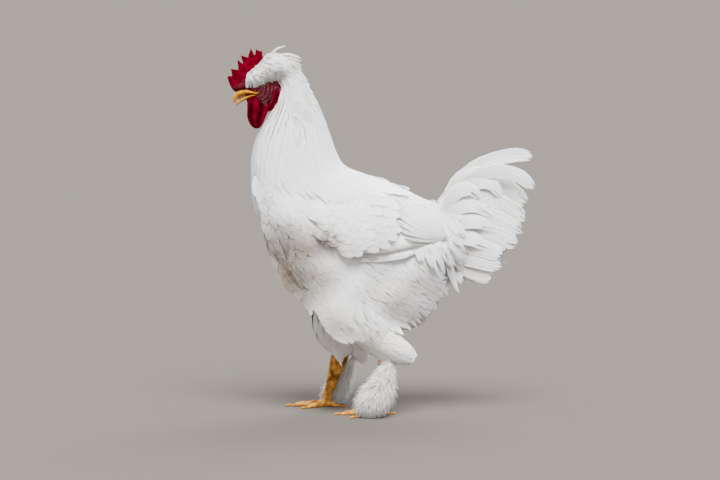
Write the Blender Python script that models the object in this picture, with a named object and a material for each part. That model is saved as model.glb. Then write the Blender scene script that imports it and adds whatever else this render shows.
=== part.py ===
"""A standing white rooster with a crest, a single comb and feathered shanks, life size, as a still model.

Metres, +Z up, facing -X. The origin is on the floor, at the middle of the box round the bird.
Each solid holds one named part of the bird out to the tips of its plumage. Neighbours stand a hair apart.
Left is the bird's left, which is the -Y side.
"""

import math

import bmesh
import bpy
import numpy as np
from mathutils import Vector

# ---------------------------------------------------------------- driving dimensions
GAP = 0.0006  # how far a cutter stands proud of the piece it copies, so that neighbours stay apart
SIDES = {"left": -1.0, "right": 1.0}

# Lines of the body from the crown to the root of the tail, one row for each cross-section:
# back line x and z, front line x and z, half-width, and how much narrower the back is than the front.
BODY = (
    (-0.139, 0.569, -0.164, 0.545, 0.018, 0.00),
    (-0.124, 0.543, -0.173, 0.513, 0.028, 0.00),
    (-0.108, 0.516, -0.188, 0.483, 0.038, 0.00),
    (-0.095, 0.487, -0.204, 0.453, 0.047, 0.00),
    (-0.082, 0.450, -0.213, 0.415, 0.056, 0.00),
    (-0.073, 0.425, -0.213, 0.380, 0.063, 0.02),
    (-0.060, 0.405, -0.210, 0.345, 0.070, 0.04),
    (-0.030, 0.392, -0.196, 0.305, 0.078, 0.05),
    (0.005, 0.380, -0.179, 0.251, 0.085, 0.07),
    (0.038, 0.366, -0.137, 0.195, 0.087, 0.09),
    (0.062, 0.354, -0.070, 0.157, 0.085, 0.10),
    (0.078, 0.347, 0.000, 0.140, 0.080, 0.10),
    (0.088, 0.343, 0.056, 0.141, 0.071, 0.08),
    (0.093, 0.342, 0.098, 0.190, 0.057, 0.05),
    (0.097, 0.343, 0.110, 0.228, 0.043, 0.00),
)
NECK_BASE = 6.4  # the cross-section, counted in rows of BODY, where the neck meets the trunk
CUT = 0.012  # half the thickness of that cut, in rows
BODY_FULLNESS = 2.35  # 2 is an ellipse, more is squarer

# The head has its own axes: along the bill, and up through the comb.
HEAD_CENTRE = Vector((-0.190, 0.0, 0.541))
HEAD_DROOP = math.radians(36)
# Distance along the bill, middle height, half-height, half-width.
HEAD = (
    (-0.034, 0.006, 0.004, 0.004),
    (-0.027, 0.006, 0.015, 0.012),
    (-0.014, 0.001, 0.0250, 0.0175),
    (0.000, -0.004, 0.0300, 0.0195),
    (0.012, -0.007, 0.0310, 0.0185),
    (0.022, -0.002, 0.0240, 0.0155),
    (0.030, 0.003, 0.0155, 0.0120),
    (0.036, 0.006, 0.0115, 0.0095),
)
UPPER_BILL = (
    (0.026, 0.0040, 0.0050, 0.0085),
    (0.034, 0.0088, 0.0052, 0.0075),
    (0.044, 0.0118, 0.0051, 0.0060),
    (0.051, 0.0107, 0.0043, 0.0044),
    (0.0565, 0.0073, 0.0030, 0.0028),
    (0.0600, 0.0030, 0.0012, 0.0012),
)
LOWER_BILL = (
    (0.024, -0.0040, 0.0034, 0.0075),
    (0.034, -0.0014, 0.0034, 0.0062),
    (0.045, 0.0009, 0.0031, 0.0048),
    (0.0535, 0.0006, 0.0021, 0.0032),
    (0.0605, -0.0016, 0.0009, 0.0012),
)
EYE_RADIUS = 0.0065
EYE = (0.006, 0.001, 0.0132)  # along the bill, up, out

# The comb is an ellipse in the head's middle plane, with spikes on its rim.
COMB_MIDDLE = (0.010, 0.018)
COMB_RADII = (0.040, 0.029)
COMB_SPIKES = (  # tip along the bill, tip up, and half the angle that the spike's foot spans
    (0.0425, 0.0450, 7),
    (0.0325, 0.0520, 7),
    (0.0145, 0.0580, 9),
    (0.0045, 0.0600, 7),
    (-0.0140, 0.0590, 9),
    (-0.0225, 0.0530, 7),
    (-0.0270, 0.0460, 5),
)
COMB_VALLEY = 1.6  # the least angle between the feet of two neighbouring spikes
COMB_TIP = 0.0014  # half the width of a spike just below its tip
COMB_HALF_THICK = 0.0021
COMB_ROUNDING = 0.0008

# Height, middle x, half-length, distance out, half-thickness.
WATTLE = (
    (0.521, -0.204, 0.0060, 0.0070, 0.0034),
    (0.511, -0.206, 0.0135, 0.0092, 0.0034),
    (0.499, -0.2035, 0.0160, 0.0112, 0.0031),
    (0.487, -0.2050, 0.0158, 0.0128, 0.0029),
    (0.476, -0.2055, 0.0125, 0.0140, 0.0027),
    (0.470, -0.2050, 0.0080, 0.0145, 0.0022),
    (0.4672, -0.2045, 0.0030, 0.0147, 0.0014),
)
# Path of the ear lobe: x, z, distance out, half-width, half-thickness.
EARLOBE = (
    (-0.1675, 0.5350, 0.0165, 0.0022, 0.0015),
    (-0.1690, 0.5305, 0.0185, 0.0058, 0.0026),
    (-0.1700, 0.5225, 0.0195, 0.0060, 0.0028),
    (-0.1745, 0.5110, 0.0190, 0.0052, 0.0026),
    (-0.1805, 0.5015, 0.0170, 0.0042, 0.0024),
    (-0.1850, 0.4965, 0.0155, 0.0022, 0.0014),
)
# The crest, front to back: x, lowest z, highest z, half-width.
CREST = (
    (-0.2245, 0.5450, 0.5510, 0.0060),
    (-0.2200, 0.5380, 0.5580, 0.0150),
    (-0.2090, 0.5335, 0.5690, 0.0235),
    (-0.1960, 0.5330, 0.5780, 0.0290),
    (-0.1840, 0.5355, 0.5935, 0.0310),
    (-0.1680, 0.5410, 0.5985, 0.0315),
    (-0.1520, 0.5480, 0.5975, 0.0280),
    (-0.1400, 0.5560, 0.5900, 0.0210),
    (-0.1310, 0.5640, 0.5820, 0.0100),
)

# The folded wing, front to back: x, middle z, half-height, furthest out, half-thickness.
WING = (
    (-0.115, 0.325, 0.0090, 0.0870, 0.0080),
    (-0.102, 0.327, 0.0270, 0.0925, 0.0150),
    (-0.074, 0.324, 0.0430, 0.0960, 0.0180),
    (-0.038, 0.317, 0.0530, 0.0980, 0.0200),
    (0.000, 0.315, 0.0520, 0.0980, 0.0210),
    (0.040, 0.314, 0.0440, 0.0940, 0.0210),
    (0.075, 0.311, 0.0330, 0.0850, 0.0200),
    (0.095, 0.306, 0.0230, 0.0750, 0.0170),
    (0.107, 0.301, 0.0100, 0.0660, 0.0090),
)
WING_LEAN = 0.30  # how far the top of the wing leans in, for each unit of height
# The tips of the folded flight feathers, below the wing: x, z, half-height, out, half-thickness.
FLIGHT_TIPS = (
    (-0.052, 0.2590, 0.0040, 0.0860, 0.0040),
    (-0.030, 0.2580, 0.0080, 0.0920, 0.0070),
    (0.005, 0.2610, 0.0085, 0.0930, 0.0070),
    (0.045, 0.2670, 0.0070, 0.0860, 0.0060),
    (0.078, 0.2730, 0.0040, 0.0750, 0.0040),
)

# The body of the tail, front to back: x, middle z, half-height, half-width.
TAIL_CORE = (
    (0.088, 0.288, 0.062, 0.036),
    (0.104, 0.292, 0.073, 0.039),
    (0.124, 0.302, 0.078, 0.039),
    (0.150, 0.314, 0.080, 0.034),
    (0.180, 0.322, 0.074, 0.026),
    (0.205, 0.328, 0.060, 0.016),
    (0.218, 0.330, 0.040, 0.008),
)
# Tail feathers of one side, top to bottom: root x, z, out; a point on the way; tip; half-width.
TAIL_FEATHERS = (
    (0.102, 0.320, 0.010, 0.160, 0.385, 0.016, 0.240, 0.345, 0.014, 0.0150),
    (0.102, 0.312, 0.015, 0.165, 0.352, 0.024, 0.237, 0.318, 0.022, 0.0150),
    (0.102, 0.302, 0.019, 0.165, 0.325, 0.030, 0.231, 0.297, 0.030, 0.0150),
    (0.103, 0.290, 0.022, 0.165, 0.300, 0.036, 0.222, 0.279, 0.038, 0.0150),
    (0.103, 0.276, 0.023, 0.155, 0.275, 0.038, 0.197, 0.262, 0.044, 0.0135),
    (0.104, 0.262, 0.022, 0.150, 0.254, 0.036, 0.196, 0.243, 0.043, 0.0120),
    (0.104, 0.250, 0.018, 0.145, 0.235, 0.030, 0.179, 0.222, 0.036, 0.0120),
)
SICKLES = {  # root, three points on the way and the tip, each x, z and out; then the half-width
    "upper": ((0.101, 0.345, 0.010), (0.133, 0.385, 0.019), (0.170, 0.409, 0.022),
              (0.218, 0.4215, 0.021), (0.2500, 0.4185, 0.018), 0.0115),
    "lower": ((0.101, 0.335, 0.012), (0.135, 0.376, 0.024), (0.178, 0.399, 0.029),
              (0.222, 0.392, 0.029), (0.2495, 0.3680, 0.025), 0.0115),
}
BLADE_HALF_THICK = 0.0022

# Legs. Left is set back and right forward. Each row: x, z, distance out, radius along, radius across.
THIGH = {
    "left": (
        (-0.082, 0.222, 0.046, 0.040, 0.030),
        (-0.062, 0.196, 0.052, 0.050, 0.038),
        (-0.042, 0.165, 0.054, 0.046, 0.036),
        (-0.016, 0.136, 0.053, 0.034, 0.029),
        (0.002, 0.114, 0.051, 0.023, 0.021),
        (0.011, 0.099, 0.050, 0.0165, 0.0150),
    ),
    "right": (
        (-0.100, 0.222, 0.046, 0.036, 0.030),
        (-0.086, 0.190, 0.050, 0.040, 0.036),
        (-0.079, 0.160, 0.051, 0.041, 0.034),
        (-0.075, 0.134, 0.050, 0.0385, 0.029),
        (-0.070, 0.114, 0.049, 0.0320, 0.0230),
        (-0.0665, 0.099, 0.048, 0.0235, 0.0180),
        (-0.0660, 0.088, 0.048, 0.0165, 0.0145),
    ),
}
HOCK_TUFT = {  # stiff feathers that stand back from the hock
    "left": (
        (-0.020, 0.140, 0.056, 0.014, 0.012),
        (0.004, 0.124, 0.058, 0.021, 0.017),
        (0.026, 0.110, 0.059, 0.020, 0.015),
        (0.043, 0.097, 0.059, 0.015, 0.011),
        (0.052, 0.084, 0.058, 0.004, 0.004),
    ),
    "right": (
        (-0.068, 0.134, 0.050, 0.012, 0.012),
        (-0.053, 0.114, 0.054, 0.016, 0.015),
        (-0.041, 0.095, 0.056, 0.0155, 0.013),
        (-0.032, 0.079, 0.056, 0.0120, 0.009),
        (-0.026, 0.068, 0.055, 0.0035, 0.003),
    ),
}
HOCK = {"left": (0.012, 0.0955, 0.050), "right": (-0.065, 0.0955, 0.048)}
ANKLE = {"left": (-0.009, 0.0135, 0.048), "right": (-0.091, 0.0135, 0.047)}
SHANK_RADII = (  # share of the way down, radius fore and aft, radius across
    (0.00, 0.0135, 0.0105),
    (0.14, 0.0138, 0.0105),
    (0.34, 0.0120, 0.0088),
    (0.58, 0.0096, 0.0076),
    (0.80, 0.0074, 0.0069),
    (0.93, 0.0076, 0.0078),
    (1.00, 0.0078, 0.0080),
)
BOOT = (  # feathers on the outer side of the shank: height, middle from the shank, radius along, out, across
    (0.081, 0.000, 0.0080, 0.014, 0.0080),
    (0.072, -0.002, 0.0160, 0.018, 0.0120),
    (0.058, -0.004, 0.0250, 0.023, 0.0160),
    (0.040, -0.004, 0.0310, 0.027, 0.0200),
    (0.024, -0.002, 0.0310, 0.028, 0.0210),
    (0.011, -0.001, 0.0240, 0.025, 0.0190),
    (0.0035, 0.000, 0.0150, 0.021, 0.0130),
)
BOOT_SIZE = {"left": 1.0, "right": 0.78}
BOOT_TALL = {"left": 1.0, "right": 0.86}
BOOT_BEHIND = {"left": 0.0, "right": 0.019}  # how far behind the shank the boot's middle lies
TOES = {  # direction from straight ahead, outwards positive, in degrees; length; radius at the root
    "middle": (0, 0.056, 0.0062),
    "inner": (-38, 0.041, 0.0056),
    "outer": (42, 0.044, 0.0056),
    "back": (198, 0.023, 0.0050),
}
TOE_TAPER = 0.66
CLAW_LENGTH = 0.0125
CLAW_RADIUS = 0.0031
FLOOR_SINK = 0.0012  # how far a toe's underside is flattened where it bears
SPUR_HEIGHT = 0.032
SPUR_LENGTH = 0.007
SPUR_RADIUS = 0.0040

PLUMAGE = ((0.86, 0.84, 0.79), 0.75)
RED_SKIN = ((0.42, 0.012, 0.022), 0.50)
YELLOW_SKIN = ((0.62, 0.33, 0.055), 0.55)
HORN = ((0.78, 0.50, 0.13), 0.35)
EYE_COLOUR = ((0.30, 0.09, 0.02), 0.08)


# ---------------------------------------------------------------- tools
def clear_scene():
    for obj in list(bpy.data.objects):
        bpy.data.objects.remove(obj, do_unlink=True)
    for name in ("rooster", "cutters"):
        bpy.context.scene.collection.children.link(bpy.data.collections.new(name))


def finish(name, colour, roughness):
    material = bpy.data.materials.new(name)
    material.use_nodes = True
    shader = material.node_tree.nodes["Principled BSDF"]
    shader.inputs["Base Color"].default_value = (*colour, 1.0)
    shader.inputs["Roughness"].default_value = roughness
    shader.inputs["Metallic"].default_value = 0.0
    return material


def read_line(rows, at):
    """Catmull-Rom curve through the rows, read at row number at, which may be an array."""
    rows = np.asarray(rows, float)
    at = np.clip(np.asarray(at, float), 0, len(rows) - 1)
    i = np.minimum(at.astype(int), len(rows) - 2)
    f = (at - i)[..., None]
    before, a, b = rows[np.maximum(i - 1, 0)], rows[i], rows[i + 1]
    after = rows[np.minimum(i + 2, len(rows) - 1)]
    bend = (2 * before - 5 * a + 4 * b - after) * f**2
    turn = (3 * a - before - 3 * b + after) * f**3
    return 0.5 * (2 * a + (b - before) * f + bend + turn)


def add_mesh(name, mesh, material, collection="rooster"):
    obj = bpy.data.objects.new(name, mesh)
    mesh.materials.clear()
    if material:
        mesh.materials.append(material)
    bpy.data.collections[collection].objects.link(obj)
    return obj


def loft(name, rings, material):
    """A closed skin over rings of points, an array of ring, point and x y z, with a flat cap at each end."""
    count, sides = rings.shape[:2]
    shape = bmesh.new()
    points = [[shape.verts.new(point) for point in ring] for ring in rings.tolist()]
    for near, far in zip(points, points[1:]):
        for k in range(sides):
            shape.faces.new((near[k], near[(k + 1) % sides], far[(k + 1) % sides], far[k]))
    shape.faces.new(points[0][::-1])
    shape.faces.new(points[count - 1])
    bmesh.ops.recalc_face_normals(shape, faces=shape.faces)
    bmesh.ops.triangulate(shape, faces=shape.faces)
    mesh = bpy.data.meshes.new(name)
    shape.to_mesh(mesh)
    shape.free()
    mesh.shade_smooth()
    mesh.set_sharp_from_angle(angle=math.radians(50))
    return add_mesh(name, mesh, material)


def turns(sides):
    return 2 * math.pi * np.arange(sides) / sides


def tube_rings(path, wide, deep, sides, out=(0.0, 1.0, 0.0)):
    """Elliptic rings square to a path. wide is the radius in the path's plane, deep the radius along out."""
    path = np.asarray(path, float)
    along = np.gradient(path, axis=0)
    along /= np.linalg.norm(along, axis=1, keepdims=True)
    across = np.cross(along, np.asarray(out, float))
    across /= np.linalg.norm(across, axis=1, keepdims=True)
    outward = np.cross(across, along)
    c, s = np.cos(turns(sides)), np.sin(turns(sides))
    wide, deep = np.asarray(wide, float), np.asarray(deep, float)
    return (
        path[:, None]
        + across[:, None] * (wide[:, None] * c)[..., None]
        + outward[:, None] * (deep[:, None] * s)[..., None]
    )


def carve(target, *pieces, gap=GAP):
    """Cuts target back from each piece, by a copy of the piece that stands a gap proud of it."""
    for piece in pieces:
        mesh = piece.data.copy()
        shape = bmesh.new()
        shape.from_mesh(mesh)
        shape.normal_update()
        moved = [vert.co + vert.normal * gap for vert in shape.verts]
        for vert, place in zip(shape.verts, moved):
            vert.co = place
        shape.to_mesh(mesh)
        shape.free()
        cutter = add_mesh(f"{target.name}.less.{piece.name}"[:58], mesh, None, "cutters")
        cutter.display_type = "WIRE"
        cutter.hide_render = True
        combine(target, cutter, "DIFFERENCE")


def set_aside(piece):
    """Makes a piece a hidden cutter."""
    bpy.data.collections["rooster"].objects.unlink(piece)
    bpy.data.collections["cutters"].objects.link(piece)
    piece.display_type = "WIRE"
    piece.hide_render = True


def combine(target, other, operation):
    boolean = target.modifiers.new(f"{operation.lower()} {other.name}"[:60], "BOOLEAN")
    boolean.operation = operation
    boolean.solver = "EXACT"
    boolean.object = other


def unite(target, *pieces):
    for piece in pieces:
        set_aside(piece)
        combine(target, piece, "UNION")


def from_head(along, up, out=0.0):
    """A place given in the head's own axes, as x, y and z."""
    c, s = math.cos(HEAD_DROOP), math.sin(HEAD_DROOP)
    return HEAD_CENTRE + Vector((-c * along - s * up, out, -s * along + c * up))


# ---------------------------------------------------------------- neck and trunk
def body_rings(rows, sides):
    """Cross-sections of the body, each in the plane through its back and front points and square to the middle plane."""
    back_x, back_z, front_x, front_z, half_width, narrow = read_line(BODY, rows).T
    c, s = np.cos(turns(sides)), np.sin(turns(sides))
    upright = np.sign(c) * np.abs(c) ** (2 / BODY_FULLNESS)
    sideways = np.sign(s) * np.abs(s) ** (2 / BODY_FULLNESS)
    x = np.add.outer((back_x + front_x) / 2, 0 * c) + np.outer((back_x - front_x) / 2, upright)
    z = np.add.outer((back_z + front_z) / 2, 0 * c) + np.outer((back_z - front_z) / 2, upright)
    y = np.outer(half_width, sideways) * (1 - np.outer(narrow, upright))
    return np.stack((x, y, z), axis=-1)


def make_body(plumage):
    """The neck and the trunk, parted by a thin cut, and a cutter in the shape of the two together."""
    neck_rings = body_rings(np.linspace(0, NECK_BASE - CUT, 9), 20)
    trunk_rings = body_rings(np.linspace(NECK_BASE + CUT, len(BODY) - 1, 14), 20)
    whole = loft("neck and trunk", np.concatenate((neck_rings, trunk_rings)), None)
    set_aside(whole)
    return loft("neck", neck_rings, plumage), loft("trunk", trunk_rings, plumage), whole


# ---------------------------------------------------------------- head
def head_loft(name, rows, count, sides, material):
    along, up, half_height, half_width = read_line(rows, np.linspace(0, len(rows) - 1, count)).T
    path = [tuple(from_head(a, b)) for a, b in zip(along, up)]
    return loft(name, tube_rings(path, half_height, half_width, sides), material)


def make_comb(red):
    """The comb's outline runs along its rim ellipse from front to back, out to each spike and back, then home low.

    Where the feet of two spikes would overlap, they meet halfway in one narrow valley.
    """
    centre_a, centre_b = COMB_MIDDLE
    radius_a, radius_b = COMB_RADII

    def rim(degrees):
        angle = math.radians(degrees)
        return centre_a + radius_a * math.cos(angle), centre_b + radius_b * math.sin(angle)

    feet = []
    for tip_a, tip_b, half_foot in COMB_SPIKES:
        middle = math.degrees(math.atan2((tip_b - centre_b) / radius_b, (tip_a - centre_a) / radius_a))
        feet.append([middle - half_foot, middle + half_foot])
    for front, back in zip(feet, feet[1:]):
        if back[0] - front[1] < COMB_VALLEY:
            halfway = (front[1] + back[0]) / 2
            front[1] = halfway - COMB_VALLEY / 2
            back[0] = halfway + COMB_VALLEY / 2
    outline = [rim(degrees) for degrees in (0, 14, 26)]
    for (front, back), (*tip, _) in zip(feet, COMB_SPIKES):
        tip = Vector(tip)
        rise = (tip - (Vector(rim(front)) + Vector(rim(back))) / 2).normalized()
        ahead = Vector((rise.y, -rise.x)) * COMB_TIP
        shoulder = tip - rise * COMB_TIP / 2
        outline += [rim(front), shoulder + ahead, tip, shoulder - ahead, rim(back)]
    outline += [rim(158), rim(176), (centre_a - 0.024, 0.010), (centre_a + 0.012, 0.002)]
    curve = bpy.data.curves.new("comb", "CURVE")
    curve.dimensions = "2D"
    curve.fill_mode = "BOTH"
    curve.extrude = COMB_HALF_THICK
    curve.bevel_depth = COMB_ROUNDING
    curve.bevel_resolution = 0
    curve.offset = -COMB_ROUNDING
    spline = curve.splines.new("POLY")
    spline.use_cyclic_u = True
    spline.points.add(len(outline) - 1)
    for point, (a, b) in zip(spline.points, outline):
        point.co = (a, b, 0.0, 1.0)
    flat = bpy.data.objects.new("comb outline", curve)
    bpy.context.scene.collection.objects.link(flat)
    mesh = bpy.data.meshes.new_from_object(flat.evaluated_get(bpy.context.evaluated_depsgraph_get()))
    bpy.data.objects.remove(flat)
    shape = bmesh.new()
    shape.from_mesh(mesh)
    bmesh.ops.remove_doubles(shape, verts=shape.verts, dist=1e-6)
    for vert in shape.verts:
        vert.co = from_head(vert.co.x, vert.co.y, vert.co.z)
    bmesh.ops.recalc_face_normals(shape, faces=shape.faces)
    shape.to_mesh(mesh)
    shape.free()
    return add_mesh("comb", mesh, red)


def make_eye(side, eye):
    along, up, out = EYE
    shape = bmesh.new()
    bmesh.ops.create_uvsphere(shape, u_segments=10, v_segments=7, radius=EYE_RADIUS)
    bmesh.ops.translate(shape, verts=shape.verts, vec=from_head(along, up, SIDES[side] * out))
    mesh = bpy.data.meshes.new(f"eye_{side}")
    shape.to_mesh(mesh)
    shape.free()
    mesh.shade_smooth()
    return add_mesh(mesh.name, mesh, eye)


def make_wattle(side, red):
    z, x, half_length, out, half_thick = read_line(WATTLE, np.linspace(0, len(WATTLE) - 1, 8)).T
    angle = turns(10)
    rings = np.stack((
        x[:, None] + np.outer(half_length, np.cos(angle)),
        SIDES[side] * (out[:, None] + np.outer(half_thick, np.sin(angle))),
        z[:, None] + 0 * angle,
    ), axis=-1)
    return loft(f"wattle_{side}", rings, red)


def make_earlobe(side, red):
    x, z, out, half_width, half_thick = read_line(EARLOBE, np.linspace(0, len(EARLOBE) - 1, 7)).T
    path = np.stack((x, SIDES[side] * out, z), axis=-1)
    return loft(f"earlobe_{side}", tube_rings(path, half_width, half_thick, 8), red)


def make_crest(plumage):
    x, low, high, half_width = read_line(CREST, np.linspace(0, len(CREST) - 1, 9)).T
    angle = turns(12)
    rings = np.stack((
        x[:, None] + 0 * angle,
        np.outer(half_width, np.sin(angle)),
        (low + high)[:, None] / 2 + np.outer((high - low) / 2, np.cos(angle)),
    ), axis=-1)
    return loft("crest", rings, plumage)


def make_head(plumage, red, horn, eye):
    head = head_loft("head", HEAD, 9, 12, red)
    upper = head_loft("bill_upper", UPPER_BILL, 8, 10, horn)
    lower = head_loft("bill_lower", LOWER_BILL, 7, 10, horn)
    comb = make_comb(red)
    crest = make_crest(plumage)
    pairs = {}
    for side in SIDES:
        pairs[side] = (make_eye(side, eye), make_wattle(side, red), make_earlobe(side, red))
        ball, wattle, earlobe = pairs[side]
        carve(head, ball)
        carve(wattle, head, lower)
        carve(earlobe, head)
        carve(crest, ball, earlobe)
    carve(head, upper, lower)
    carve(lower, upper)
    carve(comb, head, upper, crest)
    carve(crest, head, gap=2 * GAP)
    return head, crest, pairs


# ---------------------------------------------------------------- wings
def plate_rings(rows, count, side, sides):
    """Upright rings across the bird, each an ellipse that leans in towards its top."""
    x, middle, half_height, out, half_thick = read_line(rows, np.linspace(0, len(rows) - 1, count)).T
    angle = turns(sides)
    rise = np.outer(half_height, np.sin(angle))
    reach = (out - half_thick)[:, None] + np.outer(half_thick, np.cos(angle)) - WING_LEAN * rise
    return np.stack((x[:, None] + 0 * angle, SIDES[side] * reach, middle[:, None] + rise), axis=-1)


def make_wing(side, body, plumage):
    wing = loft(f"wing_{side}", plate_rings(WING, 11, side, 12), plumage)
    carve(wing, body)
    tips = loft(f"flight_feathers_{side}", plate_rings(FLIGHT_TIPS, 6, side, 8), plumage)
    carve(tips, body, wing)


# ---------------------------------------------------------------- tail
def blade(name, points, half_width, plumage, shares=(0, 0.4, 0.76, 0.93, 1.0)):
    """A long feather along a curve through points, upright and thin, with a rounded tip."""
    share = np.array(shares)
    path = read_line(points, share * (len(points) - 1))
    swell = 0.55 + 0.45 * np.sin(np.minimum(share / 0.5, 1) * math.pi / 2)
    tip = np.sqrt(1 - np.clip((share - 0.72) / 0.287, 0, 1) ** 2)
    wide = half_width * swell * tip
    deep = BLADE_HALF_THICK * np.maximum(tip, 0.35)
    return loft(name, tube_rings(path, wide, deep, 6), plumage)


def make_tail(trunk, plumage):
    x, middle, half_height, half_width = read_line(TAIL_CORE, np.linspace(0, len(TAIL_CORE) - 1, 8)).T
    angle = turns(14)
    rings = np.stack((
        x[:, None] + 0 * angle,
        np.outer(half_width, np.sin(angle)),
        middle[:, None] + np.outer(half_height, np.cos(angle)),
    ), axis=-1)
    tail = loft("tail", rings, plumage)
    for side, sign in SIDES.items():
        for k, feather in enumerate(TAIL_FEATHERS):
            (*numbers, half_width) = feather
            places = np.array(numbers).reshape(3, 3)[:, (0, 2, 1)] * (1, sign, 1)
            unite(tail, blade(f"tail feather {side} {k}", places, half_width, plumage))
    carve(tail, trunk)
    for side, layer in (("right", "upper"), ("left", "lower")):
        *places, half_width = SICKLES[layer]
        places = np.array(places)[:, (0, 2, 1)] * (1, SIDES[side], 1)
        shares = (0, 0.2, 0.4, 0.6, 0.75, 0.87, 0.95, 1.0)
        sickle = blade(f"sickle_{side}", places, half_width, plumage, shares)
        carve(sickle, tail)


# ---------------------------------------------------------------- legs
def limb(name, rows, side, count, sides, material):
    x, z, out, along, across = read_line(rows, np.linspace(0, len(rows) - 1, count)).T
    path = np.stack((x, SIDES[side] * out, z), axis=-1)
    return loft(name, tube_rings(path, along, across, sides), material)


def shank_place(side, share):
    """A place on the middle line of the shank, from the hock at share 0 to the ankle at 1."""
    hock, ankle = np.array(HOCK[side]), np.array(ANKLE[side])
    x, z, out = hock + (ankle - hock) * share
    return np.array((x, SIDES[side] * out, z))


def make_shank(side, yellow):
    share, along, across = read_line(SHANK_RADII, np.linspace(0, len(SHANK_RADII) - 1, 7)).T
    path = np.array([shank_place(side, t) for t in share])
    return loft(f"shank_{side}", tube_rings(path, along, across, 10), yellow)


def make_boot(side, plumage):
    z, ahead, along, out, across = read_line(BOOT, np.linspace(0, len(BOOT) - 1, 8)).T
    z = z * BOOT_TALL[side]
    size = BOOT_SIZE[side]
    hock, ankle = shank_place(side, 0), shank_place(side, 1)
    share = (hock[2] - z) / (hock[2] - ankle[2])
    middle = hock + np.outer(share, ankle - hock)
    angle = turns(12)
    rings = np.stack((
        (middle[:, 0] + ahead + BOOT_BEHIND[side])[:, None] + np.outer(along * size, np.cos(angle)),
        (middle[:, 1] + SIDES[side] * out * size)[:, None] + np.outer(across * size, np.sin(angle)),
        z[:, None] + 0 * angle,
    ), axis=-1)
    return loft(f"boot_{side}", rings, plumage)


def toe_line(side, degrees, length):
    """The way a toe runs over the floor, and its start under the ankle."""
    angle = math.radians(degrees) * SIDES[side]
    way = np.array((-math.cos(angle), math.sin(angle), 0.0))
    start = shank_place(side, 1) * (1, 1, 0)
    return start, way, start + way * length


def make_foot(side, yellow, horn):
    foot = loft(f"foot_{side}", ankle_rings(side), yellow)
    ball = loft(f"ball of the foot {side}", ankle_rings(side), None)
    set_aside(ball)
    cutters = [ball]
    for k, (toe, (degrees, length, radius)) in enumerate(TOES.items()):
        start, way, end = toe_line(side, degrees, length)
        share = np.array((0, 0.3, 0.6, 0.85, 1.0))
        size = radius * (1 - (1 - TOE_TAPER) * share) * np.where(share == 1, 0.6, 1.0)
        path = start + np.outer(share, end - start)
        path[:, 2] = size - FLOOR_SINK
        rings = tube_rings(path, size, size, 6, out=(0.0, 0.0, 1.0))
        rings[..., 2] = np.maximum(rings[..., 2], 0.0)
        piece = loft(f"toe {side} {toe}", rings, yellow)
        unite(foot, piece)
        carve(make_claw(side, k + 1, path[-1], way, horn), piece)
        cutters.append(piece)
    return cutters


def ankle_rings(side):
    """The ball of the foot, a low dome on the floor under the ankle."""
    centre = shank_place(side, 1)
    height = np.array((0.0, 0.003, 0.007, 0.011, 0.0150))
    radius = np.array((0.0080, 0.0095, 0.0098, 0.0090, 0.0070))
    angle = turns(10)
    return np.stack((
        centre[0] + np.outer(radius, np.cos(angle)),
        centre[1] + np.outer(radius, np.sin(angle)),
        height[:, None] + 0 * angle,
    ), axis=-1)


def make_claw(side, number, start, way, horn):
    share = np.linspace(0, 1, 5)
    path = start + np.outer(share * CLAW_LENGTH, way)
    path[:, 2] = start[2] + 0.0010 * np.sin(share * math.pi) - (start[2] - 0.0009) * share**2
    radius = CLAW_RADIUS * np.sqrt(1 - 0.97 * share)
    radius = np.minimum(radius, path[:, 2] - 0.0001)
    return loft(f"claw_{side}_{number}", tube_rings(path, radius, radius, 5, (0.0, 0.0, 1.0)), horn)


def make_spur(side, horn):
    share = np.linspace(0, 1, 5)
    start = shank_place(side, 1 - (SPUR_HEIGHT - ANKLE[side][1]) / (HOCK[side][1] - ANKLE[side][1]))
    way = np.array((0.80, -SIDES[side] * 0.58, 0.12))
    path = start + np.outer(share * (SPUR_LENGTH + 0.006), way)
    radius = SPUR_RADIUS * np.sqrt(1 - 0.95 * share)
    return loft(f"spur_{side}", tube_rings(path, radius, radius, 5, (0.0, 0.0, 1.0)), horn)


def make_leg(side, body, plumage, yellow, horn):
    foot = make_foot(side, yellow, horn)
    shank = make_shank(side, yellow)
    spur = make_spur(side, horn)
    thigh = limb(f"thigh_{side}", THIGH[side], side, 7, 12, plumage)
    unite(thigh, limb(f"hock feathers {side}", HOCK_TUFT[side], side, 6, 8, plumage))
    boot = make_boot(side, plumage)
    carve(shank, *foot)
    carve(spur, shank)
    carve(thigh, body, shank)
    carve(boot, shank, *foot)


def main():
    clear_scene()
    plumage = finish("white plumage", *PLUMAGE)
    red = finish("red skin", *RED_SKIN)
    yellow = finish("yellow scaly skin", *YELLOW_SKIN)
    horn = finish("yellow horn", *HORN)
    eye = finish("eye", *EYE_COLOUR)
    neck, trunk, body = make_body(plumage)
    head, crest, pairs = make_head(plumage, red, horn, eye)
    carve(neck, head, crest)
    for side in SIDES:
        carve(neck, *pairs[side][1:])
        make_wing(side, body, plumage)
        make_leg(side, body, plumage, yellow, horn)
    make_tail(trunk, plumage)


main()
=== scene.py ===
"""The looks of a standing white rooster with a crest, a single comb and feathered shanks, life size.

Metres, +Z up. The bird faces -X and its left side is towards -Y. Each form below is a function of two
numbers, u along the form and v round it, and repeats the lines of the solids. The skin lies a coat's depth
inside those forms, and the feathers grow from it and come out to them at their tips.
"""

import math

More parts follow.
